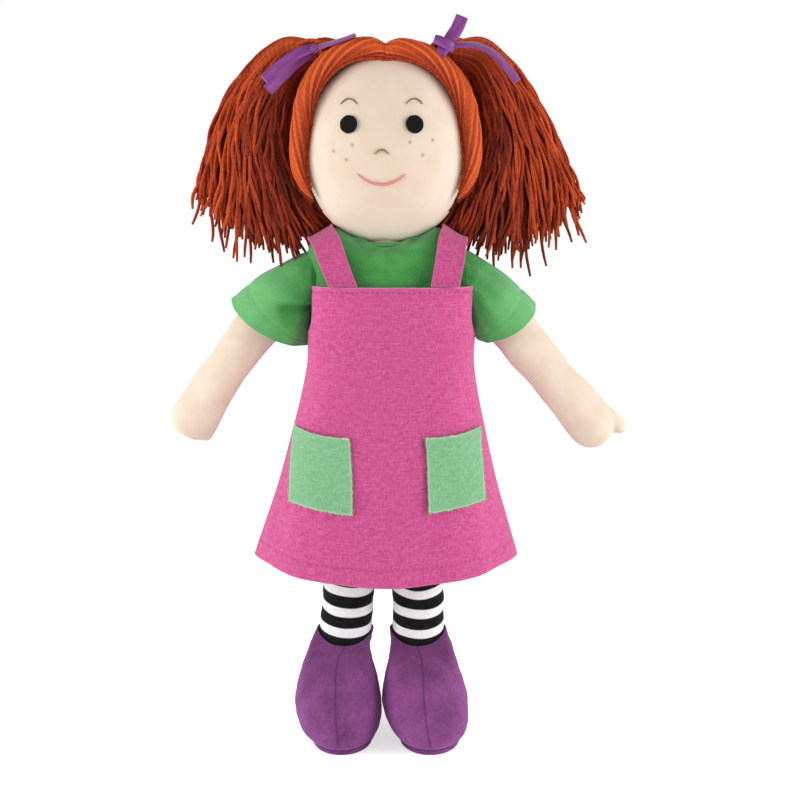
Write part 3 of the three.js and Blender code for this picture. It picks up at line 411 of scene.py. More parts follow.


# Knitted jersey: soft ribs of stitches, with painted light on the sleeves' outer sides, painted shade under a crease
# and in the stitches' grooves
def jersey(add, look):
    cloth = add("UVMap")
    u, v, _ = add("SeparateXYZ", cloth)
    across, along = add("MULTIPLY", u, math.tau / look["stitch"]), add("MULTIPLY", v, math.tau / look["course"])
    rib = add("ABSOLUTE", add("SINE", add("MULTIPLY", across, 0.5)))
    row = add("SINE", add("ADD", along, add("MULTIPLY", rib, 2.6)))
    height = add("MULTIPLY_ADD", row, 0.35, rib)
    patchy = add("TexNoise", add("Mapping", cloth, (70, 110, 1)), 5.0)
    fine = add("TexNoise", add("Mapping", cloth, (900, 900, 1)), 2.0)
    tone = add("MULTIPLY_ADD", fine, 0.35, add("MULTIPLY", patchy, 0.75))
    tint = add("Mix", add("MapRange", tone, 0.32, 0.75), look["dark"], look["light"])
    # Painted light: the sleeves' outer sides and lower parts are mixed towards a paler green.
    tint = add("Mix", add("Attribute", attribute_name="worn"), tint, look["worn"])
    # Painted shade under the sleeve's crease.
    shade = add("MULTIPLY", add("Attribute", attribute_name="shade"), 0.6)
    tint = add("Mix", shade, tint, look["shade"])
    # Painted shade in the grooves between the stitches.
    tint = add("Mix", add("MapRange", height, -0.3, 0.3, 0.25, 0.0), tint, look["groove"])
    return {"Base Color": tint, "Normal": add("Bump", height, 0.00018, 0.6, add("Bump", patchy, 0.0012, 0.4))}


# Coarse linen: uneven slubs run both ways, paler on the thick threads, rough to the eye
def linen(add, look):
    cloth = add("UVMap")
    u, v, _ = add("SeparateXYZ", cloth)
    thread = 1 / look["thread"]
    warp, weft = (add("TexNoise", add("Mapping", cloth, scale), 3.0, 0.7)
                  for scale in ((thread, thread * 0.3, 1), (thread * 0.2, thread, 1)))
    basket = add("MULTIPLY", *[add("SINE", add("MULTIPLY", way, math.tau * thread)) for way in (u, v)])
    tone = add("MULTIPLY_ADD", basket, 0.05, add("MAXIMUM", warp, weft))
    tint = add("Mix", add("MapRange", tone, 0.42, 0.78), look["dark"], look["light"])
    broad = add("TexNoise", add("Mapping", cloth, (45, 30, 1)), 3.0)
    tint = add("Mix", add("MapRange", broad, 0.35, 0.7, 0.0, 0.35), tint, look["middle"])
    tint = add("Mix", add("Attribute", attribute_name="edge"), tint, look["edge"])
    dash = add("GREATER_THAN", add("SINE", add("MULTIPLY", u, look["dashes"])), -0.35)
    seam = add("MULTIPLY", add("Attribute", attribute_name="stitched"), dash)
    tint = add("Mix", add("MULTIPLY", seam, 0.5), tint, look["sewing"])
    # Painted shade: the 'shade' mark darkens the cloth towards the thread's deep colour.
    tint = add("Mix", add("Attribute", attribute_name="shade"), tint, look["sewing"])
    height = add("MULTIPLY_ADD", basket, 0.3, add("ADD", warp, weft))
    return {"Base Color": tint, "Normal": add("Bump", height, 0.0003, 0.7, add("Bump", broad, 0.0015, 0.5))}


# Knitted stocking: flat black and white rings with a fine knit, matt
def stocking(add, look):
    cloth = add("UVMap")
    loops, courses = (add("SINE", add("MULTIPLY", way, math.tau / look["stitch"]))
                      for way in add("SeparateXYZ", cloth)[:2])
    ragged = add("MULTIPLY_ADD", loops, 0.018, add("Attribute", attribute_name="ring"))
    white = add("MapRange", add("COSINE", add("MULTIPLY", ragged, math.tau)), -0.12, -0.24)
    patchy = add("TexNoise", add("Mapping", cloth, (300, 500, 1)), 3.0)
    pale, inky = (add("Mix", add("MapRange", patchy, 0.3, 0.7), *look[key]) for key in ("white", "black"))
    creases = add("TexNoise", add("Mapping", cloth, (90, 260, 1)), 3.0)
    low = add("Bump", creases, 0.0012, 0.35)
    return {"Base Color": add("Mix", white, inky, pale),
            "Normal": add("Bump", add("MULTIPLY", loops, courses), 0.00012, 0.5, low)}


# Brushed suede cloth: mottled nap, soft sheen at the edges, darker in the creases
def suede(add, look):
    place = add("TexCoord")
    scale = 1 / look["nap"]
    nap = add("TexNoise", add("Mapping", place, (scale, scale * 0.5, scale)), 5.0, 0.65)
    broad = add("TexNoise", add("Mapping", place, (60, 60, 60)), 4.0)
    tone = add("MULTIPLY_ADD", nap, 0.45, add("MULTIPLY", broad, 0.6))
    tint = add("Mix", add("MapRange", tone, 0.35, 0.7), look["dark"], look["light"])
    tint = add("Mix", add("MULTIPLY", add("Attribute", attribute_name="seam"), 0.5), tint, look["seam"])
    # Painted shade, where the 'shade' mark is set.
    tint = add("Mix", add("Attribute", attribute_name="shade"), tint, look["shade"])
    return {"Base Color": tint, "Normal": add("Bump", nap, 0.0004, 0.8, add("Bump", broad, 0.0015, 0.4))}


# Wool yarn: two plies twisted, red-brown in the depth and orange where it catches light
def yarn(add, look):
    cloth = add("UVMap")
    u, v, _ = add("SeparateXYZ", cloth)
    run = add("MULTIPLY", v, math.tau / look["ply"] * 2)
    twist = add("SINE", add("ADD", run, add("MULTIPLY", u, look["turn"])))
    fuzz = add("TexNoise", add("Mapping", cloth, (1400, 260, 1)), 4.0, 0.7)
    tone, lit = (add("Attribute", attribute_name=name) for name in ("tone", "lit"))
    shade = add("MULTIPLY_ADD", twist, 0.025, add("MULTIPLY_ADD", tone, 0.46, lit))
    ramp = add("ValToRGB", add("SUBTRACT", add("MULTIPLY_ADD", fuzz, 0.34, shade), 0.31))
    stops = ramp.node.color_ramp.elements
    for place in look["stops"]:
        stops.new(place)
    for stop, code in zip(stops, look["colours"]):
        stop.color = colour(code)
    height = add("MULTIPLY_ADD", fuzz, 1.4, add("MULTIPLY", twist, 0.6))
    return {"Base Color": ramp, "Normal": add("Bump", height, 0.00022, 0.7)}


# Satin ribbon: silky, with lengthwise shine lines
def satin(add, look):
    lines, broad = (add("TexNoise", add("Mapping", add("UVMap"), scale), 2.0)
                    for scale in ((3500, 60, 1), (260, 60, 1)))
    tone = add("MULTIPLY_ADD", lines, 0.4, add("MULTIPLY", broad, 0.7))
    return {"Base Color": add("Mix", add("MapRange", tone, 0.35, 0.75), look["dark"], look["light"]),
            "Normal": add("Bump", lines, 0.00012, 0.5)}


# Felt, thread and stuffing: fibres of different fineness, wound where they are thread
def fibre(add, look):
    fibres = add("TexNoise", add("Mapping", add("TexCoord"), (1 / look["fibre"],) * 3), 5.0, 0.7)
    if look["twist"]:
        u, v, _ = add("SeparateXYZ", add("UVMap"))
        run = add("MULTIPLY", v, math.tau / look["twist"])
        wound = add("SINE", add("ADD", run, add("MULTIPLY", u, 3000.0)))
        fibres = add("MULTIPLY_ADD", wound, 0.2, fibres)
    return {"Base Color": add("Mix", add("MapRange", fibres, 0.3, 0.75), look["dark"], look["light"]),
            "Normal": add("Bump", fibres, look["fibre"] * 0.4, 0.7)}


head = {"cheek": 284, "above": 46, "below": 44.6, "halfWidth": 39.5, "halfDepth": 31, "middle": -1.6}


def headHalf(rise, grow=0.0):
    # The head's half height above or below the cheeks: the lower half is shorter than the upper.
    return np.where(rise > 0, head["above"], head["below"]) + grow


def facePoint(x, z, lift=0.0):
    # The head's front at a place of its outline, lifted along the surface's own direction.
    x, z = np.array(x, float), np.array(z, float)
    rise = z - head["cheek"]
    halfHeight = headHalf(rise)
    deep = np.sqrt(np.clip(1 - (rise / halfHeight) ** 2 - (x / head["halfWidth"]) ** 2, 0, 1))
    spot = np.stack([x, -head["halfDepth"] * deep, z], axis=-1)
    normal = unit(np.stack([x / head["halfWidth"] ** 2, spot[..., 1] / head["halfDepth"] ** 2,
                            rise / halfHeight**2], axis=-1))
    return spot + normal * lift, normal


# Tints of the face: painted shade down the middle at the brow and at the chin, a blush on the cheeks, then freckles:
# colour, x, height, reach and core in mm, strength
freckle = ("c4917c", 1.25, 0.4, 0.85)
faceTintsAndShade = [("e3ccb3", -1, 292, 34, 8, 0.6), ("efc9b2", -21, 276, 12, 1, 0.25), ("efc9b2", 19, 276, 12, 1, 0.25),
         ("e3c9b0", -1, 262, 26, 4, 0.5)]
faceTintsAndShade += [(freckle[0], x, z, *freckle[1:]) for x, z in [
    (-23.9, 283.9), (-15.1, 286.6), (-17.9, 279.9), (11.4, 288), (21.9, 288.9), (17.3, 282.1)]]
spots = [(tuple((facePoint(x, z)[0] + [shiftX, 0, 0]) * 0.001), code, reach / 1000, core / 1000, strength)
         for code, x, z, reach, core, strength in faceTintsAndShade]


def matt(rough, sheen, *more):
    # The values of a matt cloth's shader, in the order of the names
    names = ("Roughness", "Sheen Weight", "Sheen Roughness", "Specular IOR Level")
    return {name: value for name, value in zip(names, (rough, sheen) + more) if value is not None}


# Pattern sizes are in metres: stitch, thread, nap, ply and fibre as they are on the real cloth.
pinkLinen = {"thread": 0.00085, "dark": "c13a7b", "light": "f47cb9", "middle": "d54f92", "edge": "ec8dbb",
             "sewing": "9c2a64", "dashes": 2600.0}
greenLinen = {"thread": 0.0009, "dark": "6cab76", "light": "9fd1a4", "middle": "8cc793", "edge": "c4e6c2",
              "sewing": "f4f4ee", "dashes": 2600.0}
finishes = {
    "skin": makeMaterial("cream_cotton", cotton, {"weave": 0.00045, "dark": "ecd6bf", "light": "f3e1cd", "spots": []},
                         matt(0.88, 0.15, 0.6)),
    "face": makeMaterial("face_cotton", cotton, {"weave": 0.00045, "dark": "ecd9c4", "light": "f2e2cf",
                                                 "spots": spots}, matt(0.88, 0.15, 0.6)),
    "jersey": makeMaterial("green_jersey", jersey, {
        "stitch": 0.0011, "course": 0.0009, "dark": "2b7732", "light": "47a24a", "worn": "7ccc80", "shade": "226b2b",
        "groove": "226427"}, matt(0.9, 0.3, 0.5)),
    "linen": makeMaterial("pink_linen", linen, pinkLinen, matt(0.92, 0.2, 0.5)),
    "pocketLinen": makeMaterial("green_linen", linen, greenLinen, matt(0.92, 0.2, 0.5)),
    "stocking": makeMaterial("striped_stocking", stocking, {
        "stitch": 0.0009, "white": ("f3f3f1", "ffffff"), "black": ("060608", "141416")}, matt(0.9, 0.06, None, 0.15)),
    "suede": makeMaterial("purple_suede_cloth", suede, {
        "nap": 0.0016, "dark": "632d60", "light": "9a5094", "seam": "4c2150", "shade": "4a2148"},
        {**matt(0.95, 0.75, 0.4), "Sheen Tint": "c77fd0"}),
    "yarn": makeMaterial("orange_wool_yarn", yarn, {
        "ply": 0.0052, "turn": 909.0, "stops": (0.4, 0.75), "colours": ("350e05", "8c2a10", "c24a1d", "e0642c")},
        {**matt(0.85, 0.15, 0.5, 0.3), "Sheen Tint": "e07040"}),
    "satin": makeMaterial("purple_satin", satin, {"dark": "541a59", "light": "a24ea3"},
                          {**matt(0.4, 0.05, None, 0.35), "Anisotropic": 0.5}),
}
for key, name, dark, light, width, rough, sheen, twist in (
        ("felt", "black_felt", "060705", "14150f", 0.0005, 0.9, 0.04, 0.0),
        ("brownThread", "brown_thread", "6f5d4c", "a08c76", 0.0003, 0.7, 0.2, 0.0011),
        ("pinkThread", "rose_thread", "d4767a", "efa6a4", 0.0003, 0.7, 0.2, 0.0011),
        ("purpleThread", "purple_thread", "4f2358", "8a4692", 0.0004, 0.7, 0.2, 0.0012),
        ("stuffing", "polyester_fibre", "e2e0da", "faf9f5", 0.0009, 0.95, 0.4, 0.0)):
    look = {"dark": dark, "light": light, "fibre": width, "twist": twist}
    finishes[key] = makeMaterial(name, fibre, look, matt(rough, sheen, None, 0.15))
print("materials made")


def levelGrid(form, foot, height, inset=0.0, rings=40, angle=circle(64), drift=None, rise=None):
    # Rings at rising heights, each a superellipse whose half axes come from smoothed rows of shares.
    table = evenRows(form["rows"], rings, np.array([height, form["width"] / 2, form["depth"] / 2]))
    share = table[:, 0]
    halfWidth = (form["width"] / 2 * table[:, 1] - inset)[:, None]
    halfDepth = np.maximum(form["depth"] / 2 * table[:, 2] - inset, 0.3)[:, None]
    x, y = squaredRound(angle[None], halfWidth, halfDepth, form["power"])
    z = (foot + height * share)[:, None]
    if drift is not None:
        dx, dy = drift(share)
        x, y = x + dx[:, None], y + dy[:, None]
    if rise is not None:
        z = z + rise(x, y, share[:, None])
    return asPoints(x, y, z)


# Torso: cotton over fibre; each row gives the share of the height, of the half width and of the half depth
torso = {
    "foot": 120.3, "height": 118.2, "width": 70, "depth": 41, "power": 2.5, "fibreInset": 1.15, "shoulder": 6,
    "rows": [[0, .84, .05], [.04, .9, .26], [.1, .95, .54], [.2, .98, .84], [.4, .99, 1], [.65, 1, 1],
             [.84, 1, .97], [.92, .98, .9], [.97, .89, .67], [1, .75, .44], [1, .4, .38]]}


def shoulderRise(x, y, share):
    return torso["shoulder"] * np.minimum(np.abs(x) / 26, 1) ** 3 * blendStep(share, 0.86, 1)


for name, inset, slot, node in (("torso_cotton", 0.0, "skin", "torso_skin"),
                                ("torso_fibre", torso["fibreInset"], "stuffing", "torso_stuffing")):
    grid = levelGrid(torso, torso["foot"] + 2 * inset, torso["height"] - 3 * inset, inset, rise=shoulderRise)
    piece = makePiece(name, addBody([], grid), slot, slot, "torso", node)
    if slot == "skin":
        padOut(piece, 0.9)

# The sewn parts inside: neck stub, hip strip and shoulder flaps
inside = {"neckRadius": 12, "neckHeight": 247, "stripHalf": 30, "stripFoot": 116, "stripTop": 120, "stripWall": 1.1,
          "flapPlace": 38.4, "flapHeight": 226, "flapRadius": 9.6, "flapEnd": 1.4, "flapWall": 1.05}
turn = circle(32)
fall = np.linspace(0.02, 2.2, 18)[:, None]
radius = inside["neckRadius"]
grid = asPoints(radius * np.sin(fall) * np.cos(turn), radius * np.sin(fall) * np.sin(turn),
                inside["neckHeight"] + radius * np.cos(fall))
makePiece("neck_stub", addBody([], grid), "skin", "skin", "neck", "neck")

across = np.linspace(-inside["stripHalf"], inside["stripHalf"], 61)
high = np.linspace(inside["stripFoot"], inside["stripTop"], 9)[:, None]
grid = asPoints(across, 0.6 + 0.12 * np.sin(across * 1.3) * (1 - ((high - 118) / 2) ** 2), high)
makePiece("hip_seam_strip", addSheet([], grid, inside["stripWall"], back), "skin", "skin", "hip", "hip_strip")

for side, sign in sides.items():
    reach = np.linspace(0.3, inside["flapRadius"], 9)[:, None]
    outwards = np.clip(reach * np.cos(turn), -inside["flapRadius"], inside["flapEnd"])
    grid = asPoints(sign * inside["flapPlace"] + outwards * sign, 0.55, inside["flapHeight"] + reach * np.sin(turn))
    makePiece("sewn_flap_" + side, addSheet([], grid, inside["flapWall"], back, wrap=True), "skin", "skin",
              "shoulder_" + side, "shoulder_flap_" + side)
print("torso made")


# Head: an egg, wider than deep
def eggGrid(grow, rings=56, count=88):
    # Half axes grown evenly.
    fall = np.linspace(0.02, math.pi - 0.02, rings)[:, None]
    turn = circle(count)
    high = np.cos(fall)
    return asPoints((head["halfWidth"] + grow) * np.sin(fall) * np.sin(turn),
                    -(head["halfDepth"] + grow) * np.sin(fall) * np.cos(turn),
                    head["cheek"] + high * headHalf(high, grow))


padOut(makePiece("head_cotton", addBody([], eggGrid(0.0)), "face", "skin", "head", "head_skin"), 0.4)
makePiece("head_fibre", addBody([], eggGrid(-0.95)), "stuffing", "stuffing", "head", "head_stuffing")

# Eyes: felt discs with a slightly rounded edge; each row of the profile is the radius and the height off the face
eye = {"reach": 15, "height": 296, "lift": 0.15,
       "profile": [[.2, 1], [2.4, 1.02], [3.6, .98], [4.1, .75], [4.25, .4], [4.15, .1], [3.4, 0], [.2, 0]]}
for side, sign in sides.items():
    spot, normal = facePoint(head["middle"] + sign * eye["reach"], eye["height"], eye["lift"])
    level = unit(np.cross(normal, upright))
    turn = circle(40)
    profile = evenRows(eye["profile"], 18)
    reach = profile[:, 0, None] * (1 + 0.012 * np.sin(turn * 7 + sign) + 0.008 * np.sin(turn * 13))
    grid = (spot + profile[:, 1, None, None] * normal + (reach * np.cos(turn))[..., None] * level
            + (reach * np.sin(turn))[..., None] * np.cross(level, normal))
    makePiece("felt_eye_" + side, addBody([], grid), "felt", "felt_black", "head", "eye_" + side)

# Stitched lines of the face: thread laid on the egg, thinner at the ends. Each has its finish, slot, node, middle,
# height, width, rise, and its thickness in the middle and at the ends.
stitches = {"brow_thread_" + side: ("brownThread", "thread_brown", "brow_" + side, head["middle"] + sign * eye["reach"],
                                    305.2, 7.4, 2.4, 0.42, 0.24) for side, sign in sides.items()}
stitches["nose_thread"] = ("brownThread", "thread_brown", "nose_stitch", head["middle"], 282.4, 6.2, 2.2, 0.42, 0.24)
stitches["mouth_thread"] = ("pinkThread", "thread_pink", "mouth_stitch", head["middle"], 273.6, 22.5, -4.8, 0.68, 0.22)
for name, (finish, slot, node, middle, height, width, rise, thick, thin) in stitches.items():
    along = np.linspace(-1, 1, 40)
    path, _ = facePoint(middle + along * width / 2, height + rise * (1 - along**2), 0.32)
    radius = thin + (thick - thin) * (1 - along**2) ** 0.8
    makePiece(name, addStrands([], path[None], radius[None], np.array([0, 1, 0.2]), 8), finish, slot, "head", node)
print("head made")

# Hair: a roll round the face, a cap behind it, two pigtails of loose yarn. Roll rows: share, share of the radius;
# tail rows: place along the fan, inner edge's x and height, outer edge's, share of the depth
hair = {
    "yarn": 2.2, "rollRadius": 4.4, "rollGap": 0.65, "rollSet": 13, "rollEnd": 2.1, "rollStrands": 17,
    "rollShift": {"left": 2.9, "right": 3.9}, "rollForward": 1.2, "loopStep": 2.1, "loopRadius": 0.85,
    "tie": np.array([38, 2, 328.5]), "depth": 31, "tailStrands": 300, "tailSteps": 38, "tufts": 72,
    "rollRows": [[0, .74], [.05, .94], [.11, 1], [.6, 1], [.78, .86], [.91, .5], [1, .1]],
    "tailRows": {
        "left": [[0, 27.5, 326.5, 28, 333.8, .3], [1, 39.5, 318, 44.5, 337, .5], [2, 43.5, 308, 54.5, 330.5, .8],
                 [3, 45, 295, 65, 318, .95], [4, 44, 280, 74, 302, 1], [5, 39, 267.5, 82.5, 286, .97],
                 [6, 32, 256, 89, 271, .85], [7, 23.5, 247.4, 94.5, 256.5, .6]],
        "right": [[0, 28, 326.5, 28.5, 333.8, .3], [1, 39.5, 318, 45.5, 337, .5], [2, 43.5, 308, 56.5, 331.5, .8],
                  [3, 45.5, 295, 68.5, 319, .95], [4, 44.5, 280, 78.5, 303, 1], [5, 39.5, 267.5, 83.5, 288, .97],
                  [6, 32.5, 256, 87.5, 273, .85], [7, 24, 247.4, 91.5, 260, .6]]}}


def hairline(angle, lift):
    # The head's outline before its middle, by the angle from the crown, for the left side.
    shrink = math.sqrt(1 - (hair["rollSet"] / head["halfDepth"]) ** 2)
    return asPoints((head["halfWidth"] * shrink + lift) * np.sin(angle), -hair["rollSet"],
                    head["cheek"] + (headHalf(np.cos(angle)) * shrink + lift) * np.cos(angle))


def rollShift(side, share):
    # Above the temples the face opens wider than the head's outline; the lower end lies outside the cheek.
    return hair["rollShift"][side] * np.sin(math.pi * np.clip(share / 0.62, 0, 1)) + 2.4 * blendStep(share, 0.68, 0.95)


def rollCentre(side, share):
    # The tube's middle runs along the hairline, its own radius and a small gap outside it.
    angle = hair["rollEnd"] * share
    radius = hair["rollRadius"] * rowsAt(hair["rollRows"], share)[0]
    seat = hairline(angle, 0.0)
    outwards = unit(hairline(angle, 5.0) - seat)
    centre = seat + outwards * (radius + hair["rollGap"] + rollShift(side, share))[:, None]
    centre[:, 1] -= hair["rollForward"]
    return centre, outwards, radius


for side, sign in sides.items():
    # Roll: a tube ribbed by strands that run along it and lean slowly round it
    fine = np.linspace(0, 1, 400)
    run = runAlong(rollCentre(side, fine)[0])
    share = np.interp(np.linspace(0, run[-1], 200), run, fine)
    centre, outwards, radius = rollCentre(side, share)
    run = np.linspace(0, run[-1], 200)
    turn = circle(98, -math.pi)
    phase = hair["rollStrands"] * turn / math.tau + 0.2 * run[:, None] + 0.25 * np.sin(run / 8 + sign)[:, None]
    part = 2 * (phase - np.floor(phase)) - 1
    strand = np.floor(phase) % hair["rollStrands"]
    swell = np.sqrt(np.clip(1 - part**2, 0, 1))
    ragged = 0.3 * np.sin(strand * 12.9898 + sign) + 0.16 * np.sin(run[:, None] / 3.1 + strand * 2)
    r = radius[:, None] * (1 + (0.5 * swell - 0.38 + 0.8 * ragged) / hair["rollRadius"])
    grid = (centre[:, None] + (r * np.sin(turn))[..., None] * outwards[:, None]
            - (r * np.cos(turn))[..., None] * back) * mirror[side]
    lit = 0.46 + 0.3 * blendStep(np.sin(turn), -0.8, 0.15) - 0.25 * (1 - swell) ** 2
    shape = addBody([], grid, {"tone": 0.5 + 0.5 * np.sin(strand * 78.233), "lit": lit})
    # The scalloped seam where the strands are caught to the face
    beads = np.arange(int(run[-1] * 0.97 / hair["loopStep"]))
    beadShare = np.interp((beads + 0.5) * hair["loopStep"], run, share)
    at, lift = beadShare * hair["rollEnd"], rollShift(side, beadShare)
    arc = np.linspace(-1, 1, 7)[:, None]
    outer, inner = hairline(at, lift + 1.3)[:, None], hairline(at, lift - 0.5)[:, None]
    loops = outer + unit(np.gradient(outer, axis=0)) * (arc * 0.95) + (inner - outer) * (1 - arc**2)
    loops[..., 1] = np.clip(facePoint(loops[..., 0], loops[..., 2], 0.6)[0][..., 1], -14.9, -13.0)
    marks = {"tone": 0.4, "lit": 0.6 + 0.1 * np.sin(beads * 2.4)[:, None]}
    addStrands(shape, loops * mirror[side], hair["loopRadius"], np.array([0, 1, 0.1]), 6, marks)
    makePiece("face_roll_" + side, shape, "yarn", "yarn", "head", "hair_roll_" + side)


# Cap: strands over the head from the parting, nape and cheek to the tie. In the head's own egg they run along the
# shortest arc, and leave the head near the tie.
def capPaths(borders, seed, lift, steps=24):
    pick = np.random.default_rng(seed)
    halfAxes = np.array([head["halfWidth"], head["halfDepth"], head["above"]])
    middle = head["cheek"] * upright
    start, goal = unit((borders - middle) / halfAxes), unit((hair["tie"] - middle) / halfAxes)
    angle = np.arccos(np.clip(start @ goal, -1, 1))[:, None, None]
    t = np.linspace(0, 1, steps)[None, :, None]
    way = (np.sin((1 - t) * angle) * start[:, None] + np.sin(t * angle) * goal) / np.sin(angle)
    below = np.where(way[..., 2:] < 0, head["below"] / head["above"], 1.0)
    skin = middle + way * halfAxes * np.concatenate([np.ones_like(below)] * 2 + [below], axis=2)
    away = unit(way / halfAxes)
    t = t[..., 0]
    height = lift * (0.35 + 0.65 * blendStep(t, 0, 0.15)) + 2.5 * blendStep(t, 0.55, 0.95)
    height = height + 0.35 * np.sin(t * 9 + pick.uniform(0, 6, (len(borders), 1)))
    gather = blendStep(t, 0.6, 1.0)[..., None]
    bundle = hair["tie"] + unit(borders - hair["tie"]) * 3.6
    return (skin + away * height[..., None]) * (1 - gather) + bundle[:, None] * gather, away


cap = {"strand": 1.15, "lifts": (5.2, 4.2), "liningWidth": 42.1, "liningDepth": 33.6, "liningRise": 2.6, "tuck": 0.042}
for side, sign in sides.items():
    # The border runs down the parting, along the nape and up behind the roll.
    crown = np.linspace(math.radians(-16), math.radians(128), 36)
    parting = asPoints(1.3, 32 * np.sin(crown), head["cheek"] + headHalf(np.cos(crown), 1.0) * np.cos(crown))
    nape = np.linspace(math.radians(4), math.radians(88), 18)
    hem = asPoints(36 * np.sin(nape), 28 * np.cos(nape), 255.5 + 8 * np.sin(nape))
    front = hairline(np.linspace(0.2, 2.15, 30), 0.5) + [0, 6, 0]
    borders = np.concatenate([parting, hem, front[::-1]])
    shape = []
    for layer, lift in enumerate(cap["lifts"]):
        spots = borders if layer == 0 else (borders[1:] + borders[:-1]) / 2
        paths, away = capPaths(spots, 3 + layer + sign, lift)
        tone = np.random.default_rng(3 + layer).uniform(0, 1, (len(spots), 1))
        along = np.linspace(0, 1, paths.shape[1])[None]
        lit = 0.42 + 0.16 * along - 0.15 * layer - 0.3 * (spots[:, 1:2] < -5) * blendStep(along, 0.6, 0.1)
        addStrands(shape, paths * mirror[side], cap["strand"], away * mirror[side], 6, {"tone": tone, "lit": lit})
    # A lining of yarn under the strands closes the gaps, darkened as painted shade; its lower border is tucked in under
    # them.
    fall = np.linspace(0.02, 2.25, 38)[:, None]
    edge = 12.5 - 5 * blendStep(fall, 1.7, 2.1)
    reach = np.arccos(-np.clip(edge / (cap["liningDepth"] * np.sin(fall)), 0, 1)) * np.linspace(0, 1, 40)
    lining = asPoints(cap["liningWidth"] * np.sin(fall) * np.sin(reach) + 0.2,
                      cap["liningDepth"] * np.sin(fall) * np.cos(reach),
                      np.cos(fall) * headHalf(np.cos(fall), cap["liningRise"]))
    tucked = 1 - cap["tuck"] * blendStep(fall, 1.85, 2.15)
    lining = (lining * tucked[..., None] + head["cheek"] * upright) * mirror[side]
    addSheet(shape, lining, 1.2, lining - head["cheek"] * upright, {"tone": 0.2, "lit": 0.12})
    makePiece("hair_cap_yarn_" + side, shape, "yarn", "yarn", "head", "hair_cap_" + side)


def besideHead(x, y, z, gap):
    # Strands that would run into the head lie against it.
    rise = z - head["cheek"]
    inside = 1 - (y / (head["halfDepth"] + gap)) ** 2 - (rise / headHalf(rise, gap)) ** 2
    return np.maximum(x, (head["halfWidth"] + gap) * np.sqrt(np.clip(inside, 0, 1)))


def fanPlace(rows, at, mixShare):
    # A place between the inner and the outer edge of the fan, whose last row is carried on past its end.
    innerX, innerZ, outerX, outerZ, deep = [
        np.interp(at, rows[:, 0], column) + (column[-1] - column[-6]) * 2 * np.clip(at - 7, 0, 2)
        for column in rows.T[1:]]
    sag = 13.2 * np.sin(math.pi * mixShare**0.85) * (at / 7) ** 4
    return innerX + (outerX - innerX) * mixShare, innerZ + (outerZ - innerZ) * mixShare - sag, deep


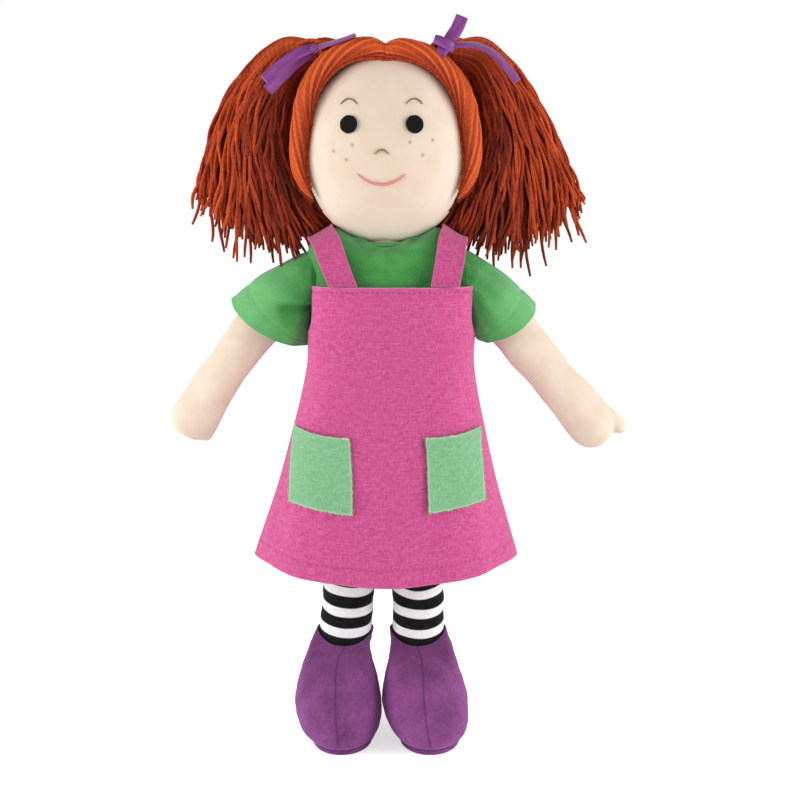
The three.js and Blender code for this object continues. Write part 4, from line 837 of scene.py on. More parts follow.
# Pigtail: strands keep their place across a fan whose rows run from the root to the ragged ends.
for side, sign in sides.items():
    pick = np.random.default_rng(21 + sign)
    rows = smoothRows(hair["tailRows"][side], 10)
    amount, tieX, tieY, tieZ = hair["tailStrands"], *hair["tie"]
    ringAngle = pick.permutation(amount) / amount * math.tau + pick.uniform(-0.02, 0.02, amount)
    kind = np.arange(amount) % 5
    layer = np.where(kind < 3, 1.0, np.where(kind == 3, 0.72, 0.42))[:, None]
    long = pick.uniform(0, 1, amount) < 0.045
    reachEnd = np.where(long, pick.uniform(1.05, 1.13, amount), np.clip(pick.normal(0.985, 0.032, amount), 0.88, 1.04))
    t = np.linspace(0, 1, hair["tailSteps"])[None] * reachEnd[:, None]
    toEnd = t / reachEnd[:, None]
    mixShare = 0.5 + 0.5 * layer * np.cos(ringAngle)[:, None] * 0.97
    phase = pick.uniform(0, 6.28, (amount, 4))
    mixShare = np.clip(mixShare + 0.03 * np.sin(t * 5 + phase[:, :1]) * blendStep(t, 0.1, 0.6), 0.0, 1.0)
    x, z, deep = fanPlace(rows, t * 7, mixShare)
    waveSize = 1.15 * blendStep(t, 0.06, 0.5)
    sway = [waveSize * (np.sin(t * pick.uniform(9, 20, (amount, 1)) + phase[:, k:k + 1])
                        + 0.45 * np.sin(t * pick.uniform(20, 32, (amount, 1)) + phase[:, k:k + 1])) for k in (1, 2)]
    curl = (pick.normal(0, 1, (3, amount, 1)) * [[[24]], [[15]], [[9]]]) * np.clip(toEnd - 0.82, 0, 1) ** 2
    y = tieY + hair["depth"] / 2 * deep * layer * np.sin(ringAngle)[:, None] * 0.95 + sway[1] + curl[1]
    z = z + 0.4 * sway[1] + curl[2]
    paths = asPoints(besideHead(x + sway[0] + curl[0], y, z, 0.9), y, z) * mirror[side]
    radius = hair["yarn"] / 2 * 0.7 * (0.7 + 0.35 * blendStep(t, 0.0, 0.22)) * (1 - 0.3 * blendStep(toEnd, 0.96, 1))
    tone = pick.uniform(0, 1, (amount, 1))
    lit = 0.2 + 0.34 * blendStep(mixShare, 0.0, 1.0) + 0.26 * blendStep(t, 0.3, 0.0) - 0.2 * (1 - layer)
    shape = addStrands([], paths, radius, back, 6, {"tone": tone, "lit": lit})
    # The imported strands in the fan's middle are one dark body, ragged at its lower end: painted shade, the dark
    # between the strands deep in the pigtail.
    around = circle(72)[None]
    coreT = np.linspace(0.03, 1, 36)[:, None] * (0.9 + 0.03 * np.sin(around * 9) + 0.02 * np.sin(around * 23))
    x, z, deep = fanPlace(rows, coreT * 7, 0.5 + 0.48 * np.cos(around) + 0 * coreT)
    y = tieY + hair["depth"] / 2 * deep * 0.42 * np.sin(around)
    x = x - 5 * np.clip(-np.cos(around), 0, 1) * blendStep(coreT, 0.42, 0.12)
    ribs = 0.5 * np.sin(around * 36) * np.sign(np.sin(around))
    core = asPoints(besideHead(x, y, z, 0.6), y + ribs, z)
    addBody(shape, core * mirror[side], {"tone": 0.5 + 0.5 * np.sin(around * 17), "lit": 0.02})
    # Short tufts stand up round the tie on the side of the head.
    count = hair["tufts"]
    lean = pick.uniform(0.15, 1.6, (count, 1))
    along = np.linspace(0, 1, 14)[None]
    size = pick.uniform(5.5, 9.5, (count, 1))
    bend = along * lean * 1.7
    tuftX = tieX - 3.5 - size * along * np.cos(1.5 - bend) + pick.normal(0, 3.2, (count, 1))
    tuftZ = tieZ + 2.6 + size * (0.62 * np.sin(bend + 0.5) - 0.3 * along)
    tufts = asPoints(tuftX, tieY - 3 + pick.normal(0, 3.2, (count, 1)), tuftZ) * mirror[side]
    addStrands(shape, tufts, 1.0, back, 6, {"tone": pick.uniform(0, 1, (count, 1)), "lit": 0.62})
    makePiece("pigtail_yarn_" + side, shape, "yarn", "yarn", "pigtail_" + side, "pigtail_" + side)
print("hair made")

# Ribbons: a wrap round the root, a knot, and tails of flat satin; each tail row is x, y, z of its middle, then how
# far its face is turned upwards (in radians) and its width
ribbon = {
    "thick": 0.4, "wrapRadius": 6.3, "wrapHalf": 1.4, "wrapWall": 0.5, "wrapLean": 0.33, "crease": 0.35, "bow": 0.35,
    "knotSize": (1.0, 0.8, 1.05),
    "left": {"knotPlace": (27.3, -14, 332.4), "knot": 2.6, "tails": [
        [[28, -14, 333, 0.1, 5], [30.5, -13.5, 336, 0.1, 6], [33.2, -12.5, 340, 0.1, 6], [35.6, -12, 345.6, 0.2, 6]],
        [[29, -14, 332.5, 0.9, 5], [35, -15, 332.6, 1.0, 5.6], [43, -16.5, 332, 1.0, 5.8],
         [50.5, -17.5, 328, 0.95, 6], [56.3, -18, 321.8, 0.9, 6], [61, -18, 315.8, 0.8, 6]],
        [[22.6, -16.2, 335, 0.2, 4.4], [25.6, -17.6, 334, 0.1, 4.6], [29.4, -17.4, 332, 0.1, 4.6],
         [32, -15.6, 330.4, 0.3, 4.4]],
        [[28.5, -15.5, 333.5, 0, 5.2], [26.8, -17.5, 330.5, 0.1, 5.2], [25.2, -17.6, 327.2, -0.2, 5.2],
         [25.4, -15.8, 325.6, -1.2, 5]]]},
    "right": {"knotPlace": (32.6, -14, 330.4), "knot": 2.1, "tails": [
        [[32.5, -13.5, 331.5, 0.5, 4.5], [40, -15.5, 328.8, 0.5, 5.4], [48, -17.5, 323.2, 0.5, 5.8],
         [56, -19, 316.4, 0.55, 6]],
        [[34, -12.8, 328.8, -0.55, 4.5], [41, -14.2, 324, -0.6, 5.4], [47.5, -16, 318, -0.6, 5.8],
         [54.2, -18, 311.4, -0.5, 6]],
        [[31.5, -14, 331.2, 1.0, 5], [25.5, -15, 333.2, 1.15, 5.4], [19.5, -15.5, 335, 1.2, 5.6],
         [13.6, -16, 337, 1.2, 5.6]]]}}
for side, sign in sides.items():
    tie = hair["tie"] * mirror[side]
    turn = circle(48)
    lean = ribbon["wrapLean"]
    axis = np.array([sign * math.cos(lean), 0, math.sin(lean)])
    square = np.array([-sign * math.sin(lean), 0, math.cos(lean)])
    radius = ribbon["wrapRadius"] + 0.25 * np.sin(turn * 5)
    ring = tie + (radius * np.cos(turn))[:, None] * back + (radius * np.sin(turn))[:, None] * square
    grid = ring[None] + np.linspace(-ribbon["wrapHalf"], ribbon["wrapHalf"], 7)[:, None, None] * axis
    grid = grid + unit(ring - tie)[None] * (ribbon["crease"] * np.cos(np.linspace(-4.5, 4.5, 7)))[:, None, None]
    shape = addSheet([], grid, ribbon["wrapWall"], unit(ring - tie)[None], wrap=True)
    fall = np.linspace(0.05, math.pi - 0.05, 22)[:, None]
    folds = 1 + 0.1 * np.cos(turn * 5 + 2 * fall) + 0.06 * np.cos(turn * 3 + 1)
    wide, deep, tall = ribbon["knotSize"]
    knot = asPoints(wide * np.sin(fall) * np.cos(turn) * folds, deep * np.sin(fall) * np.sin(turn) * folds,
                    tall * np.cos(fall))
    addBody(shape, np.array(ribbon[side]["knotPlace"]) * mirror[side] + ribbon[side]["knot"] * knot)
    for tail in ribbon[side]["tails"]:
        # Points across a strip: its width runs level, tilted and bowed a little.
        table = smoothRows(tail, 10)
        path = table[:, :3] * mirror[side]
        way = unit(np.gradient(path, axis=0))
        level = unit(np.cross(way, back))
        level = level * np.where(level[:, 2:] < 0, -1, 1)
        tilt = table[:, 3:4]
        across = unit(level * np.cos(tilt) + back * np.sin(tilt))
        s = np.linspace(-1, 1, 9)
        strip = (path[:, None] + across[:, None] * (s * table[:, 4:] / 2)[..., None]
                 + unit(np.cross(way, across))[:, None] * (ribbon["bow"] * (1 - s**2))[None, :, None])
        addSheet(shape, strip, ribbon["thick"], -back)
    piece = makePiece("satin_ribbon_" + side, shape, "satin", "ribbon", None, "ribbon_" + side)
    step = sign * 0.001
    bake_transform(piece)
print("ribbons made")

# T-shirt: a body, a neckband and two sleeves
shirt = {
    "foot": 150, "top": 239.65, "width": 72.3, "depth": 43.3, "power": 2.5, "wall": 0.8, "proud": 0.1,
    "rows": [[0, 1, 1], [.5, 1, 1], [.8, 1.01, .98], [.92, 1.03, .92], [.97, .96, .75], [1, .79, .52], [1, .355, .592]],
    "shoulderAt": [0, 8, 12, 15, 20, 23.5, 27, 31], "shoulderRise": [0.3, 0.6, 1.9, 3.5, 6.6, 8.4, 7.7, 7.2],
    "swell": 2.1, "bandRadius": 14.6, "bandWide": 1.1, "bandHigh": 0.95, "bandHeight": 240.1, "bandGap": 2.1}


def shirtRise(x, y, share):
    # The shoulders stand up under the jaw: little at the neck, most from 20 mm outwards.
    return np.interp(np.abs(x), shirt["shoulderAt"], shirt["shoulderRise"]) * blendStep(share, 0.86, 1)


def underJaw(x, y, z, gap):
    # Cloth below the jaw stays under it.
    inside = 1 - (x / head["halfWidth"]) ** 2 - (y / head["halfDepth"]) ** 2
    return np.minimum(z, head["cheek"] - head["below"] * np.sqrt(np.clip(inside, 0, 1)) - gap)


grid = levelGrid(shirt, shirt["foot"], shirt["top"] - shirt["foot"], -shirt["proud"], 64, circle(128), rise=shirtRise)
normals = gridNormals(grid, True)
folds = 0.5 * roughness3d(grid * [1, 1, 0.5], 22, 5) + 0.25 * roughness3d(grid * [1, 1, 2], 14, 6)
grid = grid + normals * (np.clip(folds, -0.5, 0.7) * blendStep(grid[..., 2], 238, 228))[..., None]
# It swells up to the neckband, whose groove hardly shows.
x, y, z = np.moveaxis(grid, -1, 0)
swell = shirt["swell"] * bell(np.hypot(x, y), 16, 1.7) * blendStep(z, 236, 239)
grid[..., 2] = underJaw(x, y, z + swell, 0.5)
piece = makePiece("jersey_body", addSheet([], grid, shirt["wall"], normals, wrap=True), "jersey", "jersey", "torso",
                  "shirt_body")

turn, spin = circle(96), circle(14)[:, None]
r = shirt["bandRadius"] + shirt["bandWide"] * np.cos(spin)
x, y = r * np.sin(turn), -r * np.cos(turn)
z = underJaw(x, y, shirt["bandHeight"] + shirtRise(x, y, 1.0), shirt["bandGap"]) + shirt["bandHigh"] * np.sin(spin)
grid = asPoints(x, y, z)
makePiece("jersey_neckband", addBody([], np.concatenate([grid, grid[:1]]), capped=False), "jersey", "jersey", "torso",
          "shirt_neckband")

# Sleeves: folds are an angle and a size each; the sleeve is cut in two at a share of its length
sleeve = {
    "left": {"folds": [(0.75, 2.0), (0.1, 1.3)], "crease": 0.0, "start": (38.15, 0, 223), "run": (19.2, 0, -19.2),
             "hem": (16.3, 15.3)},
    "right": {"folds": [(0.5, 0.8)], "crease": 1.0, "start": (35.2, 0, 222.6), "run": (20, 0, -18.8),
              "hem": (21, 15.5)},
    "slant": 0.53, "drop": 6.5, "wall": 0.8, "armhole": (14.5, 13), "puff": 0.01, "cut": 0.2, "creaseHeight": 212,
    "seamPlace": 38.15}


def sleeveGrid(side, shares, count=96):
    # Ellipses from the upright armhole to the slanting hem, whose front and back hang lower; folds run down.
    form, sign, lean = sleeve[side], sides[side], sleeve["slant"]
    down = np.array([sign * math.sin(lean), 0, -math.cos(lean)])
    across = np.array([sign * math.cos(lean), 0, math.sin(lean)])
    share = shares[:, None]
    s, bent = share[..., None], np.clip(share, 0, 1)
    widthWay = unit((1 - bent[..., None]) * upright + bent[..., None] * across)
    angle = circle(count)[None]
    puff = 1 + sleeve["puff"] * np.sin(math.pi * bent)
    # Inside the armhole (share below nothing) the tube runs level into the shirt and closes a little.
    inward = np.clip(-share, 0, 1)
    halfWidth, halfDepth = [(begin * (1 - share) + end * share) * puff + more * inward
                            for begin, end, more in zip(sleeve["armhole"], form["hem"], (7, -6))]
    w, d = halfWidth * np.sin(angle), -halfDepth * np.cos(angle)
    start, run = np.array(form["start"]) * mirror[side], np.array(form["run"]) * mirror[side]
    grid = start + run * s + inward[..., None] * np.array([0, 0, -11.0]) + widthWay * w[..., None] + back * d[..., None]
    grid = grid + down * (sleeve["drop"] * bent * np.abs(d / halfDepth))[..., None]
    normals = gridNormals(grid, True)
    outward = widthWay * np.sin(angle)[..., None] - back * np.cos(angle)[..., None]
    normals = normals * np.sign((normals * outward).sum(axis=2, keepdims=True))
    pleats = (0.5 * np.sin(angle * 7 + 1.3 * sign) + 0.4 * np.sin(angle * 11 + 4 * share)) * blendStep(share, 0.05, 0.5)
    pleats = pleats + 0.6 * roughness3d(grid, 16, 9 + sign) * blendStep(share, -0.2, 0.3)
    # Soft folds run from the armhole's front towards the hem, pulled by the strap.
    for foldAngle, foldSize in form["folds"]:
        away = (angle - foldAngle - 0.5 * share + math.pi) % math.tau - math.pi
        pleats = pleats - foldSize * bell(away, 0, 0.13) * blendStep(share, -0.25, 0.1) * blendStep(share, 0.85, 0.3)
        pleats = pleats + 0.6 * foldSize * bell(away, 0.32, 0.16) * blendStep(share, 0.9, 0.2)
    # A level crease runs out from the pinafore across the front of one sleeve.
    level = grid[..., 2] - sleeve["creaseHeight"] - 0.06 * (np.abs(grid[..., 0]) - 44)
    reachOut = blendStep(np.abs(grid[..., 0]), 54, 46) * blendStep(grid[..., 1], -4, -8)
    pleats = pleats + form["crease"] * (1.3 * bell(level, 2.2, 1.8) - 2.6 * bell(level, -1, 1.5)) * reachOut
    hemLine = -0.4 * bell(share, 0.78, 0.025) + 0.3 * blendStep(share, 0.96, 1.0)
    # Painted light: paler towards the hem and on the outer side, where the side lamps fall, less so under the crease;
    # painted shade just under the crease.
    worn = blendStep(share, 0.0, 0.8) * (0.3 + 0.5 * blendStep(np.sin(angle), -0.4, 0.9))
    worn = worn - 0.5 * form["crease"] * reachOut * blendStep(level, 1, -1) * blendStep(level, -14, -4)
    marks = {"worn": np.clip(worn, 0, 1), "shade": form["crease"] * reachOut * bell(level, -2.5, 3)}
    return grid + normals * (0.6 * pleats + hemLine)[..., None], normals, marks


cut = sleeve["cut"]
for side, sign in sides.items():
    x0, step = (sign * sleeve["seamPlace"] + shiftX) * 0.001, sign * 0.001
    # Rows close to the cut keep its rounded edge out of the shading.
    for part, held, shares in (("top", "gathered", np.append(np.linspace(-0.3, cut, 30)[:-1], [cut - 0.005, cut])),
                               ("hem", "hung", np.append([cut, cut + 0.005], np.linspace(cut, 1, 40)[1:]))):
        grid, outwards, marks = sleeveGrid(side, shares)
        piece = makePiece("jersey_sleeve_" + part + "_" + side,
                          addSheet([], grid, sleeve["wall"], outwards, marks, wrap=True), "jersey", "jersey", None,
                          "shirt_sleeve_" + side)
        if part == "top":
            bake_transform(piece)
        else:
            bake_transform(piece)
print("shirt made")

# Arms: a stuffed tube that starts flat, bends a little and ends in a mitten hand. The lean goes from the first to
# the second angle (degrees from hanging); a thumb has its facing, its root along the arm, reach and splay.
arm = {
    "start": (40.1, 0, 226), "depth": 18.5, "fibreInset": 2.7, "skinCell": 0.0009, "thumbRadius": 3.6,
    "left": {"length": 104.5, "width": 23.8, "lean": (38.5, 39.5), "thumb": (1.108, 0.914, 8, 0.3)},
    "right": {"length": 97.5, "width": 22.8, "lean": (44, 27), "thumb": (-1, 0.835, 10, 0.6)},
    "rows": [[0, .76, .14], [.05, .82, .4], [.12, .92, .72], [.24, 1, .94], [.5, .97, 1], [.76, .98, .96],
             [.9, 1, .84], [.965, .8, .62], [1, .42, .3]]}


def armCourse(side, share):
    # Place and lean along an arc whose lean changes evenly from the shoulder to the hand.
    first, last = np.radians(arm[side]["lean"])
    s = np.linspace(0, 1, 201)
    lean = first + (last - first) * s
    ways = [np.append(0, np.cumsum((v[1:] + v[:-1]) / 2)) / 200 * arm[side]["length"]
            for v in (np.sin(lean), np.cos(lean))]
    outwards, downwards = [np.interp(share, s, way) for way in ways]
    x, z = sides[side] * (arm["start"][0] + outwards), arm["start"][2] - downwards
    return asPoints(x, 0, z), np.interp(share, s, lean)


def armGrid(side, inset, rings=64, count=48):
    # Ellipses square to the arm's course, upright and flat at the shoulder's seam.
    length, halfWidth, halfDepth = arm[side]["length"], arm[side]["width"] / 2, arm["depth"] / 2
    table = evenRows(arm["rows"], rings, np.array([length, halfWidth, halfDepth]))
    end = 2 * inset / length
    share = end + (1 - 2 * end) * table[:, 0]
    place, lean = armCourse(side, share)
    turned = blendStep(share, 0, 0.3)[:, None]
    widthWay = unit((1 - turned) * upright + turned * asPoints(sides[side] * np.cos(lean), 0, np.sin(lean)))
    angle = circle(count)
    w = (halfWidth * table[:, 1] - inset)[:, None] * np.sin(angle)
    d = -np.maximum(halfDepth * table[:, 2] - inset, 0.3)[:, None] * np.cos(angle)
    return place[:, None] + widthWay[:, None] * w[..., None] + back * d[..., None]


def thumbGrid(side):
    # A tube with round ends from its root at the hand's edge.
    facing, root, reach, splay = arm[side]["thumb"]
    sign, radius = sides[side], arm["thumbRadius"]
    place, lean = armCourse(side, np.array(root))
    outwards = np.array([sign * math.cos(lean), 0, math.sin(lean)]) * facing
    way = np.array([sign * math.sin(lean), 0, -math.cos(lean)])
    first = place + outwards * (arm[side]["width"] / 2 - radius)
    last = first + way * reach + outwards * splay
    axis = unit(last - first)
    fall = np.linspace(0.05, math.pi - 0.05, 24)
    along = np.where(fall < math.pi / 2, 0, np.linalg.norm(last - first)) - radius * np.cos(fall)
    turn = circle(28)
    r = (radius * np.sin(fall))[:, None]
    return (first + axis * along[:, None, None] + unit(np.cross(axis, back)) * (r * np.cos(turn))[..., None]
            + back * (0.88 * r * np.sin(turn))[..., None])


def meltTogether(piece, cell, rounds=6):
    # One skin over parts that cross each other, its faces evened out by smoothing.
    remesh = piece.modifiers.new("one_skin", "REMESH")
    remesh.mode, remesh.voxel_size = "VOXEL", cell
    smooth = piece.modifiers.new("even", "SMOOTH")
    smooth.factor, smooth.iterations = 0.5, rounds
    melted = bpy.data.meshes.new_from_object(evaluated(piece))
    melted.name = piece.name
    piece.modifiers.clear()
    piece.data = melted
    melted.polygons.foreach_set("use_smooth", np.full(len(melted.polygons), True))


for side, sign in sides.items():
    grid = armGrid(side, 0.0)
    grid = grid + gridNormals(grid, True) * (0.35 * roughness3d(grid, 18, 31 + sign))[..., None]
    shape = addBody(addBody([], grid), thumbGrid(side))
    piece = makePiece("arm_cotton_" + side, shape, "skin", "skin", "arm_" + side, "arm_skin_" + side)
    meltTogether(piece, arm["skinCell"])
    padOut(piece, 1.1)
    makePiece("arm_fibre_" + side, addBody([], armGrid(side, arm["fibreInset"], 40, 32)), "stuffing", "stuffing",
              "arm_" + side, "arm_stuffing_" + side)
print("arms made")

# Legs: a striped stocking, flat at the hip and round at the boot; band is the height of a pair of rings
leg = {
    "foot": 49, "top": 115.7, "width": 25.6, "depth": 24, "power": 2.0, "spacing": 18, "hip": 15.5, "shift": -2.3,
    "band": {"left": 9.8, "right": 10.2}, "firstBlack": 49.4, "sag": 3.3, "dip": 4.6, "fibreInset": 1.15,
    "rows": [[0, .99, 1.02], [.12, 1, 1.02], [.3, 1, 1], [.55, 1.04, 1.02], [.75, 1.09, .97], [.87, 1.11, .72],
             [.95, 1.12, .38], [1, 1.12, .06]]}


def legDrift(sign):
    foot, hip = leg["shift"] + sign * leg["spacing"], sign * leg["hip"]
    return lambda share: (foot + (hip - foot) * share, 0 * share)


def legDip(x, y, share):
    # The stocking's lower end dips in front, into the boot's opening.
    return -leg["dip"] * np.clip(-2 * y / leg["depth"], 0, 1) ** 1.5 * blendStep(share, 0.12, 0)


for side, sign in sides.items():
    drift, height, around = legDrift(sign), leg["top"] - leg["foot"], circle(80)
    grid = levelGrid(leg, leg["foot"], height, 0.0, 64, around, drift, legDip)
    creases = 0.35 * roughness3d(grid * [1, 1, 2.2], 16, 41 + sign) + 0.2 * roughness3d(grid, 26, 43 + sign)
    grid = grid + gridNormals(grid, True) * (creases * blendStep(grid[..., 2], 114, 104))[..., None]
    sagging = leg["sag"] * np.cos(around + 0.15 * sign - 0.15) + 0.35 * roughness3d(grid, 20, 47 + sign)
    ring = (grid[..., 2] + sagging - leg["firstBlack"]) / leg["band"][side]
    padOut(makePiece("stocking_leg_" + side, addBody([], grid, {"ring": ring}), "stocking", "stocking", "leg_" + side,
                     "leg_skin_" + side), 0.4)
    grid = levelGrid(leg, leg["foot"] + 0.35, height - 2.6, leg["fibreInset"], 36, circle(40), drift)
    makePiece("leg_fibre_" + side, addBody([], grid), "stuffing", "stuffing", "leg_" + side, "leg_stuffing_" + side)

# Boots: a soft egg-shaped foot over a flat sole. The first column of askewAt is the share of the height at which
# the foot's middle stands out by the values of its side.
boot = {
    "foot": 2.35, "top": 50.6, "width": 42.4, "depth": 65, "power": 2.1, "spacing": 21.3, "dip": 6.2,
    "fibreInset": 1.75, "fibreTop": 46.5, "stitches": 74, "stitchHeight": 2.6, "stitchRadius": 0.32,
    "rows": [[0, .66, .76], [.04, .78, .88], [.1, .88, .95], [.2, .96, .99], [.36, 1, 1], [.52, .93, .88],
             [.7, .80, .68], [.86, .70, .49], [1, .66, .42]],
    "forward": [[0, .26], [.34, .25], [.6, .17], [.85, .04], [1, .005]], "askewAt": [0, .1, .3, .5, .7, .85, 1],
    "askew": {"left": [2.2, 2.0, 0.6, 0.2, 0.6, 0.6, 0], "right": [2.4, 1.6, 0.4, -0.7, -1.7, -1.6, 0]},
    "solePart": (0.68, 0.77), "seamPart": (0.71, 0.81),
    "soleProfile": np.array([[0.0, 0.5], [0.25, 0.05], [1.1, 0.0], [1.95, 0.05], [2.2, 0.4]])}
# The boot's columns lie closer together at the seam down its front.
front = np.concatenate([np.linspace(-0.12, 0.12, 13), np.linspace(0.17, math.tau - 0.17, 90)])
fromFront = (front + math.pi) % math.tau - math.pi


def bootGrid(side, inset, foot, top, rings, angle):
    # The foot's middle at each height: forward at the toe, and a little askew as the photograph shows it.
    sign = sides[side]

    def drift(share):
        x = leg["shift"] + sign * (boot["spacing"] + (leg["spacing"] - boot["spacing"]) * share**2)
        return (x + np.interp(share, boot["askewAt"], boot["askew"][side]),
                -boot["depth"] * rowsAt(boot["forward"], share)[0])

    def dip(x, y, share):
        return -boot["dip"] * np.clip(np.cos(angle)[None], 0, 1) ** 1.5 * blendStep(share, 0.72, 1)
    return levelGrid(boot, foot, top - foot, inset, rings, angle, drift, dip)


for side, sign in sides.items():
    outer = bootGrid(side, 0.0, boot["foot"], boot["top"], 64, front)
    soft = 0.3 * roughness3d(outer, 24, 51 + sign) + 0.14 * roughness3d(outer * [1, 1, 2.5], 13, 53 + sign)
    fade = blendStep(outer[..., 2], 2.5, 9) * blendStep(outer[..., 2], 50, 44)
    seam = bell(fromFront, 0, 0.022)
    relief = soft * fade + (0.2 * bell(fromFront, 0, 0.12) - 0.45 * seam) * fade
    outer = outer + gridNormals(outer, True) * relief[..., None]
    # Its top edge turns in and down, round the stocking.
    centre = outer[-1].mean(axis=0)
    rim = np.stack([centre + (outer[-1] - centre) * [share, share, 1] + [0, 0, lift]
                    for share, lift in ((0.985, 0.35), (0.94, 0.3))])
    inner = np.stack([rim[1] - [0, 0, drop] for drop in (1.0, 3.0, 5.0)])
    # Painted shade: the cloth is darker towards the leg, where the skirt's shadow falls, and down the front; the
    # turned-in rim is darker still.
    shade = 0.55 * blendStep(outer[..., 2], 30, 49) + 0.12 * bell(fromFront, 0, 0.5)
    marks = {"seam": np.concatenate([seam * fade, np.zeros((5, len(front)))]),
             "shade": np.concatenate([shade, np.full((5, len(front)), 0.6)])}
    padOut(makePiece("suede_boot_" + side, addBody([], np.concatenate([outer, rim, inner]), marks), "suede",
                     "suede_cloth", "leg_" + side, "boot_" + side), 0.5)
    core = bootGrid(side, boot["fibreInset"], boot["foot"] + 1.6, boot["fibreTop"], 32, circle(40))
    makePiece("boot_fibre_" + side, addBody([], core), "stuffing", "stuffing", "leg_" + side, "boot_stuffing_" + side)
    # Sole, and the looped stitches that join it to the upper
    x0, y0 = leg["shift"] + sign * boot["spacing"] + boot["askew"][side][0], -boot["depth"] * boot["forward"][0][1]
    profile, (wide, long) = boot["soleProfile"], boot["solePart"]
    x, y = squaredRound(circle(96)[None], boot["width"] / 2 * wide + 0.1 - profile[:, 1:],
                        boot["depth"] / 2 * long + 0.1 - profile[:, 1:], boot["power"])
    makePiece("suede_sole_" + side, addBody([], asPoints(x0 + x, y0 + y, profile[:, :1])), "suede", "suede_cloth",
              "leg_" + side, "boot_sole_" + side)
    at = (np.arange(boot["stitches"]) + 0.5) / boot["stitches"] * 2 * math.pi
    wide, long = boot["seamPart"]
    x, y = squaredRound(at, boot["width"] / 2 * wide, boot["depth"] / 2 * long, boot["power"])
    spot = asPoints(x0 + x, y0 + y, boot["stitchHeight"])
    along = unit(np.roll(spot, -1, axis=0) - np.roll(spot, 1, axis=0))
    outwards = np.cross(along, upright)[:, None]
    arc = np.linspace(-1, 1, 7)[:, None]
    loops = (spot[:, None] + along[:, None] * arc + np.array([0, 0, 1.1]) * (1 - arc**2)
             + outwards * (0.75 * (1 - arc**2) + 0.1))
    makePiece("sole_stitches_" + side, addStrands([], loops, boot["stitchRadius"], outwards, 5), "purpleThread",
              "suede_cloth", "leg_" + side)
print("legs and boots made")

# Pinafore: one surface from the hem to the bib, cut in two at the hips. Rows: share of the height, of
# the half width, of the half depth; pulls are soft ridges on the front.
dress = {
    "hem": 90, "bib": 221, "sag": 7.4, "width": 129.8, "depth": 92, "lean": 3.2, "fold": 0.018, "count": 9,
    "wall": 0.95, "armpit": 0.81, "bibAngle": 1.12, "split": 157, "power": 2.1, "squarer": 0.95, "columns": 150,
    "hemSeam": 8, "topSeam": 2.6,
    "pulls": [{"x": 15.5, "z": 154, "wide": 1.1, "long": 9, "size": 0.7},
              {"x": 11, "z": 158, "wide": 9, "long": 6, "size": 0.9}],
    "rows": [[0, .98, 1], [.12, .906, .94], [.24, .832, .885], [.36, .768, .815], [.48, .71, .735], [.6, .656, .66],
             [.72, .618, .604], [.84, .622, .57], [1, .628, .548]]}


def dressHeight(angle, share):
    sag = dress["sag"] * np.abs(np.cos(angle)) ** 1.9 * (1 - share) ** 2
    return dress["hem"] + (dress["bib"] - dress["hem"]) * share - sag


def dressPoint(angle, share, wave=None):
    # A squared round whose size, power and folds change from the hem to the bib; the hem's middle hangs lower.
    wide, deep = rowsAt(dress["rows"], share)
    wave = np.cos(dress["count"] * angle) if wave is None else wave
    fold = 1 + dress["fold"] * np.clip(1 - share, 0, 1) ** 1.5 * wave
    x, y = squaredRound(angle, dress["width"] / 2 * wide * fold, dress["depth"] / 2 * deep * fold,
                        dress["power"] + dress["squarer"] * share)
    return asPoints(dress["lean"] * share + x, y - 0.15, dressHeight(angle, share))


def panelAngle(share):
    up = np.clip((share - dress["armpit"]) / (1 - dress["armpit"]), 0, 1)
    return math.pi / 2 + (dress["bibAngle"] - math.pi / 2) * (1 - (1 - up) ** 6)


def splitShare(angle):
    # The share of the height at which the surface crosses the level where skirt and bodice meet.
    share = np.full_like(angle, 0.51)
    for _ in range(12):
        share = share + (dress["split"] - dressHeight(angle, share)) / (dress["bib"] - dress["hem"])
    return share


def panelGrid(facing, rows, columns):
    # The whole panel from hem to bib; the row where skirt and bodice meet lies at one level.
    c = np.linspace(-1, 1, columns)
    split = splitShare(c * math.pi / 2)
    # A row close on each side of the cut keeps the cut's rounded edge out of the shading.
    skirtRows = np.concatenate([np.linspace(0, 1, rows[0] - 1)[:-1], [0.9975, 1]])[:, None]
    bodiceRows = np.concatenate([[0.0025], np.linspace(0, 1, rows[1] - 1)[1:]])[:, None]
    share = np.concatenate([split * skirtRows, split + (1 - split) * bodiceRows])
    grid = dressPoint(c * panelAngle(share), share)
    normals = gridNormals(grid)
    normals = normals * np.sign((normals * grid * [1, 1, 0]).sum(axis=2, keepdims=True))
    lumps = 0.9 * roughness3d(grid * [1, 1, 0.35], 19, 61 + facing) + 0.35 * roughness3d(grid, 11, 63 + facing)
    lumps = lumps * (0.35 + 0.65 * blendStep(share, 0.75, 0.1)) * blendStep(1 - np.abs(c), 0, 0.3)
    fromHem = grid[..., 2] - grid[:1, :, 2]
    fromTop = grid[-1:, :, 2] - grid[..., 2]
    lumps = lumps - 0.4 * bell(fromHem, dress["hemSeam"], 0.7) - 0.4 * bell(fromTop, dress["topSeam"], 0.7)
    if facing > 0:
        for pull in dress["pulls"]:
            away = (grid[..., 0] - pull["x"]) / pull["wide"]
            run = (grid[..., 2] - pull["z"]) / pull["long"]
            lumps = lumps + pull["size"] * np.exp(-away**2 - run**4)
    grid = grid + normals * lumps[..., None]
    edge = np.maximum(blendStep(fromTop, 0.9, 0.2), 0.5 * blendStep(fromHem, 0.8, 0.1))
    stitched = bell(fromTop, dress["topSeam"], 0.5) + 0.7 * bell(fromHem, dress["hemSeam"], 0.5)
    # Painted shade: the cloth is a deeper pink down the middle, where less of the side lamps' light falls.
    marks = {"edge": edge, "stitched": np.minimum(stitched, 1), "shade": 0.2 * bell(c, 0, 0.38) + 0 * share}
    return grid * [1, facing, 1], normals * [1, facing, 1], marks


